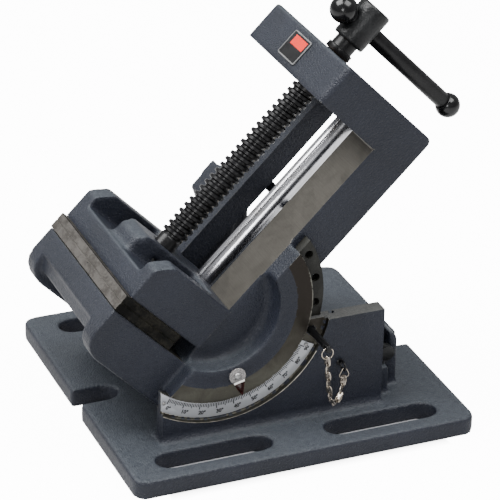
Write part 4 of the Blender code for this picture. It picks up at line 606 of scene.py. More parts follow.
# Painted reflection: the flange's near-black olive colour stands in for the dark surroundings that its
# machined face reflects.
FLANGE_BLACK = BlackOxide(
    "olive_black_flange", tone(18, 18, 15), 0.5, rub=tone(84, 80, 70), pits=0.00006, sheen=0.2
)
SCREW_BLACK = BlackOxide("black_oxide", tone(5, 5, 6), 0.3, rub=tone(78, 78, 80), sheen=0.16)
THREAD_BLACK = BlackOxide("black_oxide_thread", tone(4, 4, 5), 0.3, rub=tone(40, 40, 42), sheen=0.22)
HEAD_BLACK = BlackOxide(
    "black_oxide_forged", tone(12, 13, 14), 0.34, rub=tone(96, 95, 92), pits=0.00014, grain=700.0,
    sheen=0.24,
)
BALL_BLACK = BlackOxide(
    "black_oxide_polished", tone(5, 5, 6), 0.16, rub=tone(84, 84, 84), pits=0.000004, sheen=0.35
)
CHROME = Plated("polished_chrome", tone(206, 206, 210), 0.22, haze=tone(178, 176, 174), turn=45.0)
NICKEL = Plated("bright_nickel", tone(152, 144, 134), 0.2, haze=tone(96, 88, 80))
STEEL = GroundMetal("bright_turned_steel", tone(150, 150, 150), 0.26, stain=tone(90, 88, 84), contrast=0.3)
BRONZE = GroundMetal("cast_bronze", tone(104, 80, 50), 0.36, stain=tone(58, 44, 28), contrast=0.3)
SCALE_SILVER = Enamel("satin_scale", tone(156, 158, 162), 0.36, scuff=tone(120, 121, 122), metallic=0.3)
SCALE_INK = Enamel("black_scale_ink", tone(5, 5, 6), 0.5, scuff=tone(20, 20, 20))
WHITE_MARK = Enamel("white_pointer_bar", tone(232, 230, 226), 0.4, scuff=tone(190, 186, 180))
BADGE_BLACK = Enamel("badge_black", tone(10, 10, 11), 0.28, scuff=tone(46, 46, 48))
BADGE_SILVER = Enamel("badge_silver", tone(160, 160, 160), 0.3, scuff=tone(116, 116, 116), metallic=0.8)
BADGE_ORANGE = Enamel("badge_orange", tone(206, 30, 8), 0.45, scuff=tone(210, 56, 30))
POINTER_CLEAR = ClearPointer(
    "clear_pointer", tone(226, 222, 220), 0.03, paint=tone(84, 36, 32), paint_radius=0.0421
)


# Making and hanging pieces


def link(item: Piece) -> None:
    """Puts an object in the scene."""
    bpy.context.scene.collection.objects.link(item)


def move(shape: Shape, matrix: Matrix) -> None:
    """Moves all points of a shape by a matrix."""
    bmesh.ops.transform(shape, matrix=matrix, verts=shape.verts)


def modified(mesh: Mesh, kind: str, **settings: object) -> Mesh:
    """Runs a modifier on a mesh and gives the result.

    Args:
        mesh: The mesh to start from; it is removed.
        kind: The modifier's type.
        settings: Its settings.

    Returns:
        A new mesh with the modifier applied.
    """
    holder = bpy.data.objects.new("holder", mesh)
    link(holder)
    step = holder.modifiers.new(kind.lower(), kind)
    for name, value in settings.items():
        setattr(step, name, value)
    graph = bpy.context.evaluated_depsgraph_get()
    result = bpy.data.meshes.new_from_object(holder.evaluated_get(graph))
    bpy.data.objects.remove(holder)
    bpy.data.meshes.remove(mesh)
    return result


def meshed(shape: Shape, name: str) -> Mesh:
    """Turns a shape into a mesh and frees the shape."""
    mesh = bpy.data.meshes.new(name)
    shape.to_mesh(mesh)
    shape.free()
    return mesh


def carve(shape: Shape, tool: Shape) -> Shape:
    """Cuts one shape by another with an exact Boolean.

    Args:
        shape: The shape to cut; it is freed.
        tool: The cutter; it is freed.

    Returns:
        The cut shape.
    """
    body, blade = meshed(shape, "carving"), meshed(tool, "carving")
    cutter = bpy.data.objects.new("cutter", blade)
    link(cutter)
    result = modified(body, "BOOLEAN", operation="DIFFERENCE", object=cutter, solver="EXACT")
    bpy.data.objects.remove(cutter)
    bpy.data.meshes.remove(blade)
    return taken(result)


def taken(mesh: Mesh) -> Shape:
    """Moves a mesh into a bmesh and removes the mesh."""
    shape = bmesh.new()
    shape.from_mesh(mesh)
    bpy.data.meshes.remove(mesh)
    return shape


def copy_of(node: str) -> Shape:
    """Copies a CAD node's mesh, with its loose triangles merged into faces.

    Args:
        node: Name of the CAD node.

    Returns:
        The merged copy.
    """
    shape = bmesh.new()
    shape.from_mesh(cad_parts[node].data)
    bmesh.ops.remove_doubles(shape, verts=shape.verts, dist=2e-6)
    bmesh.ops.dissolve_limit(
        shape, angle_limit=math.radians(0.6), verts=shape.verts, edges=shape.edges, delimit=set()
    )
    return shape


def break_edges(shape: Shape, width: float, segments: int = 2, angle: float = 32.0) -> None:
    """Rounds the sharp edges of a shape.

    Args:
        shape: The shape.
        width: Width of the rounding in metres.
        segments: Steps of the rounding.
        angle: Edges sharper than this many degrees are rounded.
    """
    limit = math.radians(angle)
    edges = [e for e in shape.edges if len(e.link_faces) == 2 and e.calc_face_angle(0.0) > limit]
    bmesh.ops.bevel(
        shape, geom=edges, offset=width, offset_type="OFFSET", segments=segments, profile=0.5,
        affect="EDGES", clamp_overlap=True, material=-1,
    )


def rod(radius: float, span: Span, sides: int = 48, chamfer: float = 0.0003, lie: Matrix = BASE) -> Shape:
    """Makes a round bar along Z.

    Args:
        radius: Radius in metres.
        span: Start and end along Z.
        sides: Number of sides.
        chamfer: Rounding of its ends.
        lie: Where it lies.

    Returns:
        The bar.
    """
    shape = bmesh.new()
    bmesh.ops.create_cone(
        shape, cap_ends=True, segments=sides, radius1=radius, radius2=radius, depth=span[1] - span[0],
        matrix=Matrix.Translation((0, 0, sum(span) / 2)),
    )
    if chamfer:
        break_edges(shape, chamfer, 2)
    move(shape, lie)
    return shape


def block(u: Span, y: Span, w: Span) -> Shape:
    """Makes a block between pairs of planes."""
    spans = (u, y, w)
    centre = Matrix.Translation([sum(span) / 2 for span in spans])
    size = Matrix.Diagonal((*[span[1] - span[0] for span in spans], 1))
    shape = bmesh.new()
    bmesh.ops.create_cube(shape, size=1.0, matrix=centre @ size)
    return shape


def turned(profile: Sequence[Span], sides: int = 64, angles: Span = (0.0, 360.0)) -> Shape:
    """Spins a profile about Z.

    Args:
        profile: Points as (radius, height); closed on itself unless it starts on the axis.
        sides: Steps of the spin.
        angles: Start and end in degrees.

    Returns:
        The turned shape, with its ends filled where it isn't a full turn.
    """
    shape = bmesh.new()
    start = Matrix.Rotation(math.radians(angles[0]), 3, "Z")
    line = [shape.verts.new(start @ Vector((radius, 0, height))) for radius, height in profile]
    closed = min(radius for radius, _ in profile) > 0
    pairs = list(zip(line, line[1:])) + ([(line[-1], line[0])] if closed else [])
    edges = [shape.edges.new(pair) for pair in pairs]
    full = abs(angles[1] - angles[0]) >= 360
    geometry = list(line) + edges
    if not full and closed:
        geometry.append(shape.faces.new(line))
    turn = math.radians(angles[1] - angles[0])
    bmesh.ops.spin(
        shape, geom=geometry, cent=(0, 0, 0), axis=(0, 0, 1), angle=turn, steps=sides,
        use_merge=full, use_normal_flip=False, use_duplicate=False,
    )
    bmesh.ops.remove_doubles(shape, verts=shape.verts, dist=MERGE_DISTANCE)
    bmesh.ops.recalc_face_normals(shape, faces=shape.faces)
    return shape


def ring(radii: Span, span: Span, sides: int, angles: Span, place: Matrix = BASE) -> Shape:
    """Turns a flat ring about the tilt axis.

    Args:
        radii: Inner and outer radius.
        span: Its faces along Y.
        sides: Steps of the turn.
        angles: Start and end in degrees, downwards from the first axis.
        place: Frame whose second axis is the tilt axis.

    Returns:
        The ring.
    """
    (inner, outer), (low, high) = radii, span
    shape = turned([(inner, low), (outer, low), (outer, high), (inner, high)], sides, angles)
    move(shape, place @ LIE_ALONG_Y)
    return shape


def cut_off(shape: Shape, height: float, side: float) -> None:
    """Cuts a closed shape at a height, drops what lies beyond on the given side and closes it."""
    bmesh.ops.bisect_plane(
        shape, geom=shape.verts[:] + shape.edges[:] + shape.faces[:], plane_co=(0, 0, height),
        plane_no=(0, 0, side), clear_outer=True,
    )
    bmesh.ops.holes_fill(shape, edges=[e for e in shape.edges if e.is_boundary])
    bmesh.ops.recalc_face_normals(shape, faces=shape.faces)


def ball(radius: float, place: Matrix, sides: int, rows: int) -> Shape:
    """Makes a sphere of sides by rows faces at a place."""
    shape = bmesh.new()
    bmesh.ops.create_uvsphere(shape, u_segments=sides, v_segments=rows, radius=radius, matrix=place)
    return shape


def joined(shapes: Iterable[Shape]) -> Shape:
    """Puts several shapes in one bmesh, side by side."""
    result = bmesh.new()
    for shape in shapes:
        mesh = meshed(shape, "part")
        result.from_mesh(mesh)
        bpy.data.meshes.remove(mesh)
    return result


def mark_wear(mesh: Mesh) -> None:
    """Stores how strongly each point of a mesh stands out, as its wear attribute.

    Args:
        mesh: The finished mesh.
    """
    count = len(mesh.vertices)
    place = np.empty(count * 3, np.float32)
    mesh.vertices.foreach_get("co", place)
    place = place.reshape(-1, 3)
    normal = np.empty(count * 3, np.float32)
    mesh.vertex_normals.foreach_get("vector", normal)
    normal = normal.reshape(-1, 3)
    ends = np.empty(len(mesh.edges) * 2, np.int32)
    mesh.edges.foreach_get("vertices", ends)
    ends = ends.reshape(-1, 2)
    offset = place[ends[:, 0]] - place[ends[:, 1]]
    offset /= np.maximum(np.linalg.norm(offset, axis=1, keepdims=True), 1e-9)
    total = np.zeros(count)
    np.add.at(total, ends[:, 0], (normal[ends[:, 0]] * offset).sum(1))
    np.add.at(total, ends[:, 1], -(normal[ends[:, 1]] * offset).sum(1))
    number = np.maximum(np.bincount(ends.ravel(), minlength=count), 1)
    wear = total / number
    layer = mesh.attributes.new("wear", "FLOAT", "POINT")
    layer.data.foreach_set("value", np.clip(wear, 0, 1).astype(np.float32))


def hang(
    name: str, shape: Shape, body: Body, finishes: Finish | Sequence[Finish],
    slot: Slot, stands_for: Sequence[str] = (), place: Matrix = BASE, sharp: float = 34.0,
) -> Piece:
    """Makes a shape a finished piece that rides on its body.

    Args:
        name: Name of the piece.
        shape: Its shape; it is freed.
        body: The body that it moves with.
        finishes: Its finish, or one for each material number of its faces.
        slot: The record's material slot; not used.
        stands_for: CAD nodes that it replaces.
        place: Frame that the shape is drawn in.
        sharp: Edges beyond this many degrees are shaded sharp.

    Returns:
        The piece.
    """
    mesh = meshed(shape, name)
    mesh.transform(place)
    mesh.polygons.foreach_set("use_smooth", [True] * len(mesh.polygons))
    mesh.set_sharp_from_angle(angle=math.radians(sharp))
    mark_wear(mesh)
    for finish in [finishes] if isinstance(finishes, Finish) else finishes:
        mesh.materials.append(finish.material())
    piece = bpy.data.objects.new(name, mesh)
    link(piece)
    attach(piece, body.value)
    if stands_for:
        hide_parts(*stands_for)
    LOG.info("%s: %d faces, rides on %s", name, len(mesh.polygons), body.value)
    return piece


@dataclass(frozen=True)
class DressedNode:
    """A CAD node whose shape is kept, with its edges rounded and a finish put on.

    Attributes:
        node: Name of the CAD node.
        body: The body that it moves with.
        finish: Its finish.
        slot: The record's material slot.
        edge: Width of the edge rounding, or 0 for none.
        levels: Subdivision levels.
    """

    node: str
    body: Body
    finish: Finish
    slot: Slot
    edge: float = 0.00015
    levels: int = 0

    def build(self) -> Piece:
        """Makes the piece and gives it."""
        shape = copy_of(self.node)
        if self.edge:
            break_edges(shape, self.edge)
        if self.levels:
            mesh = meshed(shape, self.node)
            shape = taken(modified(mesh, "SUBSURF", levels=self.levels, render_levels=self.levels))
        return hang(self.node + "_dressed", shape, self.body, self.finish, self.slot, [self.node])


# Castings


@dataclass(frozen=True)
class Zone:
    """A region about the tilt axis, in a casting's own coordinates; Y counts from the middle.

    Attributes:
        x: Range along the first axis.
        y: Range of the distance from the middle plane.
        z: Range along the third axis.
        r: Range of the distance from the tilt axis.
        side: 1 for the rear half alone, -1 for the front half alone, 0 for both.
    """

    x: Span = (-1.0, 1.0)
    y: Span = (-1.0, 1.0)
    z: Span = (-1.0, 1.0)
    r: Span = (-1.0, 1.0)
    side: int = 0

    def holds(self, place: np.ndarray, slack: float) -> np.ndarray:
        """Tells which points are in the zone, widened by the slack."""
        values = (place[:, 0], np.abs(place[:, 1]), place[:, 2], np.hypot(place[:, 0], place[:, 2]))
        inside = place[:, 1] * self.side >= 0
        for value, (low, high) in zip(values, (self.x, self.y, self.z, self.r)):
            inside &= (value > low - slack) & (value < high + slack)
        return inside


@dataclass(frozen=True)
class MachinedFlat:
    """A flat that is cut true on a casting.

    Attributes:
        axis: 0, 1 or 2 for the axis it lies across; 1 means both sides of the middle plane.
        place: Where it lies on that axis.
        zone: Where it reaches.
        finish: Number of the finish of its faces, 0 where it stays painted.
    """

    axis: int
    place: float
    zone: Zone
    finish: int = 1

    def cut(self, place: np.ndarray, reach: float) -> np.ndarray:
        """Moves the points near the flat onto it, and tells which they are."""
        value = np.abs(place[:, 1]) if self.axis == 1 else place[:, self.axis]
        near = (np.abs(value - self.place) < reach) & self.zone.holds(place, reach)
        side = np.sign(place[near, 1]) if self.axis == 1 else 1.0
        place[near, self.axis] = self.place * side
        return near


@dataclass(frozen=True)
class MachinedBore:
    """A round surface about the tilt axis that is cut true on a casting.

    Attributes:
        radius: Its radius.
        zone: Where it reaches.
        finish: Number of the finish of its faces.
    """

    radius: float
    zone: Zone
    finish: int = 1

    def cut(self, place: np.ndarray, reach: float) -> np.ndarray:
        """Moves the points near the bore onto it, and tells which they are."""
        away = np.hypot(place[:, 0], place[:, 2])
        near = (np.abs(away - self.radius) < reach) & self.zone.holds(place, reach)
        place[np.ix_(near, [0, 2])] *= (self.radius / away[near])[:, None]
        return near


@dataclass(frozen=True)
class TurnedRecess:
    """A round recess in the walls' inner faces, cut clear of the flange that turns in it.

    Attributes:
        radius: Its radius about the tilt axis.
        floor: Where its floor lies, from the middle plane.
        mouth: Where it opens, from the middle plane.
        finish: Number of the finish of its faces.
    """

    radius: float
    floor: float
    mouth: float
    finish: int = 2

    def cut(self, place: np.ndarray, reach: float) -> np.ndarray:
        """Moves the points in the recess onto its nearer surface, and tells which they are."""
        away = np.hypot(place[:, 0], place[:, 2])
        depth = np.abs(place[:, 1])
        near = (away < self.radius + reach) & (depth > self.mouth) & (depth < self.floor + reach)
        outer = near & (self.radius - away < self.floor - depth)
        inner = near & ~outer
        place[np.ix_(outer, [0, 2])] *= (self.radius / away[outer])[:, None]
        place[inner, 1] = self.floor * np.sign(place[inner, 1])
        return near


@dataclass
class Casting:
    """A casting with soft moulded edges and machined surfaces, made from its CAD node.

    Attributes:
        node: The CAD node.
        body: The body that it moves with.
        place: Its own frame, with the tilt axis along Y through the origin.
        voxel: Size of the skin's faces.
        softening: Number of smoothing passes over the cast skin.
        finishes: Painted finish first, then the machined ones.
        cuts: Machined surfaces.
        round_zone: Where the moulded form is rounder than the rest.
        round_passes: Extra smoothing passes there.
    """

    node: str
    body: Body
    place: Matrix
    voxel: float
    softening: int
    finishes: Sequence[Finish]
    cuts: Sequence[MachinedFlat | MachinedBore | TurnedRecess]
    round_zone: Zone | None = None
    round_passes: int = 0

    def blank(self) -> Shape:
        """Gives the casting's solid in its own frame, ready for its skin."""
        shape = copy_of(self.node)
        move(shape, self.place.inverted())
        return shape

    def build(self) -> Piece:
        """Makes the casting's skin, cuts its machined surfaces and gives the piece."""
        shape = self.blank()
        corners = np.array([vertex.co for vertex in shape.verts], np.float32)
        mesh = modified(meshed(shape, self.node), "REMESH", mode="VOXEL", voxel_size=self.voxel)
        spots = np.empty(len(mesh.vertices) * 3, np.float32)
        mesh.vertices.foreach_get("co", spots)
        spots = spots.reshape(-1, 3)
        marks = self.machine(spots)
        np.clip(spots, corners.min(0), corners.max(0), out=spots)
        mesh.vertices.foreach_set("co", spots.ravel())
        shape = taken(mesh)
        shape.verts.ensure_lookup_table()
        free = marks == 0
        self.soften(shape, free, self.softening)
        if self.round_zone is not None:
            self.soften(shape, free & self.round_zone.holds(spots, 0.0), self.round_passes)
        for face in shape.faces:
            found = [int(marks[vertex.index]) for vertex in face.verts]
            shared = reduce(and_, found)
            if not shared and all(found):
                shared = reduce(or_, found)
            face.material_index = self.finish_number(shared)
        name = self.node + "_casting"
        return hang(name, shape, self.body, self.finishes, Slot.PAINT, [self.node], self.place)

    @staticmethod
    def soften(shape: Shape, chosen: np.ndarray, passes: int) -> None:
        """Smooths the chosen points of the skin a number of times."""
        verts = [shape.verts[i] for i in np.flatnonzero(chosen)]
        for _ in range(passes):
            bmesh.ops.smooth_vert(
                shape, verts=verts, factor=0.5, use_axis_x=True, use_axis_y=True, use_axis_z=True
            )

    def machine(self, spots: np.ndarray) -> np.ndarray:
        """Cuts all machined surfaces.

        Args:
            spots: The skin's points, changed in place.

        Returns:
            For each point, a number whose bits tell which surfaces it lies on.
        """
        marks = np.zeros(len(spots), np.int64)
        for number, surface in enumerate(self.cuts):
            marks[surface.cut(spots, self.voxel * SKIN_REACH)] |= 1 << number
        return marks

    def finish_number(self, shared: int) -> int:
        """Gives the finish of a face whose points share these surfaces."""
        for number, surface in enumerate(self.cuts):
            if shared >> number & 1:
                return surface.finish
        return 0


@dataclass
class BedCasting(Casting):
    """The tilting casting, whose front index flange is left to its own piece.

    Attributes:
        flange_radii: Inner and outer radius of what is left out.
        flange_span: Its faces along Y.
        flange_angles: Its start and end in degrees, downwards from U.
    """

    flange_radii: Span = (0.05055, 0.0625)
    flange_span: Span = (-0.0533, -0.04705)
    flange_angles: Span = (8.0, 117.0)

    def blank(self) -> Shape:
        """Gives the solid without the front index flange."""
        shape = super().blank()
        tool = ring(self.flange_radii, self.flange_span, 96, self.flange_angles)
        bmesh.ops.recalc_face_normals(tool, faces=tool.faces)
        return carve(shape, tool)


def base_casting() -> Casting:
    """Lists the base's machined surfaces and gives its casting."""
    wall_top, wall_face = -0.0134, 0.06
    scale_floor, scale_inner, scale_outer = 0.0565, 0.0509, 0.0612
    cuts = (
        MachinedFlat(2, -TILT_HEIGHT, Zone(), 0),
        MachinedFlat(2, wall_top, Zone(y=(0.0505, wall_face)), 3),
        MachinedBore(scale_outer, Zone(y=(scale_floor, wall_face), z=(-1, wall_top)), 2),
        MachinedFlat(1, scale_floor, Zone(r=(scale_inner, scale_outer)), 2),
        MachinedBore(scale_inner, Zone(y=(0.0534, scale_floor)), 2),
        TurnedRecess(0.0598, 0.0538, 0.0498),
        MachinedFlat(1, wall_face, Zone((-0.0318, 0.092), z=(-0.064, wall_top), r=(scale_outer, 1.0)), 0),
    )
    finishes = (PAINT, MACHINED_CAST, TURNED_CAST, DUSTY_PAINT)
    return Casting("base_casting", Body.BASE, PIVOT, 0.00105, 5, finishes, cuts)


def bed_casting() -> BedCasting:
    """Lists the bed's machined surfaces and gives its casting."""
    rail_top, rail_inner, rails = -0.0104, 0.0209, (-0.0224, 0.1131)
    hub_face, hub_inner, hub_outer = 0.0596, 0.0418, 0.0505
    under_rails = (-1, -0.0106)
    cuts = (
        # Painted reflection: the rear rail's top stays dark paint along its inner edge, standing in for
        # the thread's dark reflection in the machined face.
        MachinedFlat(2, rail_top, Zone(rails, (rail_inner, 0.0272), side=1), 0),
        MachinedFlat(2, rail_top, Zone(rails, (rail_inner, 0.047))),
        MachinedFlat(1, rail_inner, Zone(rails, z=(-0.0232, rail_top)), 0),
        MachinedBore(hub_inner, Zone(y=(0.0592, hub_face), z=under_rails), 0),
        MachinedFlat(1, hub_face, Zone(r=(hub_inner, hub_outer)), 2),
        MachinedBore(hub_outer, Zone(y=(0.0534, hub_face), z=under_rails), 2),
        MachinedFlat(0, -0.0324, Zone(y=(0.0, 0.0497), z=(rail_top, 0.0435))),
        MachinedFlat(0, rails[1], Zone(y=(0.0, 0.047), z=(rail_top, 0.0341)), 0),
    )
    return BedCasting("vise_body", Body.BED, BED, 0.00092, 5, (PAINT, MACHINED_CAST, TURNED_CAST), cuts)


def jaw_casting() -> Casting:
    """Lists the moving jaw's machined surfaces and gives its casting."""
    foot = -0.0101
    cuts = (
        MachinedFlat(0, -0.0221, Zone(z=(foot, 0.0415))),
        MachinedFlat(2, foot, Zone(y=(0.0205, 0.0497))),
    )
    boss = Zone((-0.0185, 0.0020), (0.0, 0.0150), (0.0180, 0.0400))
    return Casting("moving_jaw", Body.JAW, BED, 0.00072, 6, (JAW_PAINT, MACHINED_CAST), cuts, boss, 34)


# The bed's own pieces


@dataclass
class IndexFlange:
    """The flange in front of the bed, with its ring of index holes; its near-black colour is a painted
    dark reflection of its machined face.

    Attributes:
        radii: Inner and outer radius.
        span: Its faces along Y.
        angles: Where it starts and ends in degrees, downwards from U.
        top: Where its ends are cut off, in bed coordinates.
        hole_circle: Radius of the circle of holes.
        hole_radius: Radius of each hole.
        first: Angle of the first hole in degrees, in bed coordinates.
        pitch: Angle between holes.
        count: Number of holes.
    """

    radii: Span = (0.0503, 0.0591)
    span: Span = (-0.0531, -0.0471)
    angles: Span = (9.0, 117.0)
    top: float = -0.0143
    hole_circle: float = 0.055
    hole_radius: float = 0.00225
    first: float = -21.0
    pitch: float = 15.0
    count: int = 7

    def build(self) -> Piece:
        """Makes the flange and gives the piece."""
        flange = ring(self.radii, self.span, 120, self.angles)
        cut_off(flange, self.top, 1)
        low, high = self.span
        drills = []
        for number in range(self.count):
            angle = math.radians(self.first - number * self.pitch)
            spot = (self.hole_circle * math.cos(angle), 0, self.hole_circle * math.sin(angle))
            lie = Matrix.Translation(spot) @ LIE_ALONG_Y
            drills.append(rod(self.hole_radius, (low - 0.002, high + 0.002), 32, 0.0, lie))
        flange = carve(flange, joined(drills))
        break_edges(flange, 0.0002, 2, 50.0)
        return hang("index_flange_front", flange, Body.BED, FLANGE_BLACK, Slot.PAINT, place=BED)


@dataclass
class Pointer:
    """The clear pointer's white bar and screw slot, over the dressed node.

    Attributes:
        angle: Its direction in bed coordinates.
        screw_circle: Distance of its screw from the tilt axis.
        face: Its front face along Y.
        bar: Length, half width and thickness of the white bar.
        bar_away: How far the bar starts from the screw's middle.
        screw_outline: Outline of the screw, as radius and height over its seat.
        screw_sink: How far the seat lies over the front face.
    """

    angle: float = -121.0
    screw_circle: float = 0.0379
    face: float = -0.0606
    bar: tuple[float, float, float] = (0.0011, 0.0030, 0.00025)
    bar_away: float = 0.0031
    screw_outline: Sequence[Span] = (
        (0, 0.00105), (0.0006, 0.00102), (0.0013, 0.0008), (0.0018, 0.00045), (0.002, 0.0),
        (0.0011, 0.0), (0.0011, -0.004), (0, -0.004),
    )
    screw_sink: float = 0.0003

    def place(self) -> Matrix:
        """Gives the pointer's frame, X along it and away from the tilt axis."""
        return BED @ Matrix.Rotation(-math.radians(self.angle), 4, "Y")

    def build(self) -> None:
        """Makes the pointer's pieces."""
        DressedNode("pointer", Body.BED, POINTER_CLEAR, Slot.PLASTIC, 0.00008).build()
        start = self.screw_circle + self.bar_away
        length, half_width, thickness = self.bar
        bar = block((start, start + length), (-half_width, half_width), (0.0, thickness))
        move(bar, FACE_FRONT)
        bmesh.ops.translate(bar, vec=(0, self.face - 0.00002, 0), verts=bar.verts)
        break_edges(bar, 0.00006, 1)
        hang("pointer_bar", bar, Body.BED, WHITE_MARK, Slot.PLASTIC, place=self.place())
        self.screw()

    def screw(self) -> None:
        """Makes the domed, slotted screw head."""
        head = turned(self.screw_outline, 40)
        slit = block((-0.003, 0.003), (-0.00028, 0.00028), (0.0006, 0.002))
        head = carve(head, slit)
        seat = Matrix.Translation((self.screw_circle, self.face - self.screw_sink, 0))
        place = self.place() @ seat @ FACE_FRONT
        hang("pointer_screw_head", head, Body.BED, STEEL, Slot.STEEL, ["pointer_screw"], place)


@dataclass
class Badge:
    """A plain badge with a bright border and one colour band, no lettering.

    Attributes:
        middle: Its middle in bed coordinates.
        size: Its length along U and width along Y.
        thickness: Thickness of the plate.
        corner: Radius of the plate's corners.
        band: Reach of the colour band along U and along Y, from the middle.
    """

    middle: tuple[float, float, float] = (0.1246, 0.0025, 0.0344)
    size: Span = (0.015, 0.020)
    thickness: float = 0.0006
    corner: float = 0.0013
    band: tuple[Span, Span] = ((0.0002, 0.0058), (-0.0078, 0.0060))

    def layer(
        self, name: str, inset: float, low: float, high: float, finish: Finish, nodes: Sequence[str] = ()
    ) -> None:
        """Makes one rounded layer of the badge.

        Args:
            name: Name of the piece.
            inset: How far it stays inside the badge's outline.
            low: Underside above the badge's seat.
            high: Top above the badge's seat.
            finish: Its finish.
            nodes: CAD nodes that it stands for.
        """
        half_u, half_y = (side / 2 - inset for side in self.size)
        shape = block((-half_u, half_u), (-half_y, half_y), (low, high))
        upright = [e for e in shape.edges if abs(e.verts[0].co.z - e.verts[1].co.z) > (high - low) / 2]
        bmesh.ops.bevel(
            shape, geom=upright, offset=max(self.corner - inset, 0.0002), offset_type="OFFSET", segments=5,
            profile=0.5, affect="EDGES", clamp_overlap=True, material=-1,
        )
        break_edges(shape, 0.00005, 1, 60.0)
        hang(name, shape, Body.BED, finish, Slot.BADGE, nodes, BED @ Matrix.Translation(self.middle))

    def build(self) -> None:
        """Makes the badge's layers."""
        top = self.thickness
        self.layer("badge_border", 0.0, 0.0, top, BADGE_SILVER, ["badge_plate"])
        self.layer("badge_field", 0.0007, top - 0.0001, top + 0.00006, BADGE_BLACK)
        band = block(*self.band, (top, top + 0.0001))
        break_edges(band, 0.00003, 1)
        place = BED @ Matrix.Translation(self.middle)
        hang("badge_band", band, Body.BED, BADGE_ORANGE, Slot.BADGE, place=place)


@dataclass
class JawPlate:
    """A jaw plate with a ground top and blackened ends.

    Attributes:
        node: The CAD node.
        body: The body that it moves with.
        face: U of its working face.
        lapping: How far the working face stands out, so that closed jaws show a hairline.
        dots: Places of the small punched dots on its top, as U and Y.
        top: W of its top.
        dot_radius: Radius of a dot.
    """

    node: str
    body: Body
    face: float
    lapping: float
    dots: Sequence[Span] = ()
    top: float = 0.0439
    dot_radius: float = 0.00045

    def build(self) -> None:
        """Makes the plate and its dots."""
        shape = copy_of(self.node)
        move(shape, BED.inverted())
        working = [v for v in shape.verts if abs(v.co.x - self.face) < 0.0001]
        bmesh.ops.translate(shape, vec=(self.lapping, 0, 0), verts=working)
        break_edges(shape, 0.00005, 1, 60.0)
        shape.normal_update()
        for face in shape.faces:
            faces_up = face.normal.z > 0.8
            works = abs(face.normal.x) > 0.9
            face.material_index = 0 if faces_up or works else 1
        finishes = (PLATE_TOP, PLATE_BLACK)
        hang(self.node + "_dressed", shape, self.body, finishes, Slot.IRON, [self.node], BED)
        for number, (u, y) in enumerate(self.dots, 1):
            spot = Matrix.Translation((u, y, self.top))
            dot = rod(self.dot_radius, (-0.0002, 0.00003), 20, 0.0, spot)
            hang(f"{self.node}_dot_{number}", dot, self.body, PLATE_BLACK, Slot.IRON, place=BED)


@dataclass
class GuideRod:
    """The polished rod between the rails.

    Attributes:
        radius: Its radius.
        height: W of its axis.
        span: Its start and end along U.
    """

    radius: float = 0.0055
    height: float = -0.0183
    span: Span = (-0.0451, 0.1297)

    def build(self) -> None:
        """Makes the rod."""
        shape = rod(self.radius, self.span, 96, 0.0006, LIE_ALONG_X)
        place = BED @ Matrix.Translation((0, 0, self.height))
        hang("guide_rod_polished", shape, Body.BED, CHROME, Slot.CHROME, ["guide_rod"], place)


# Spindle and handle


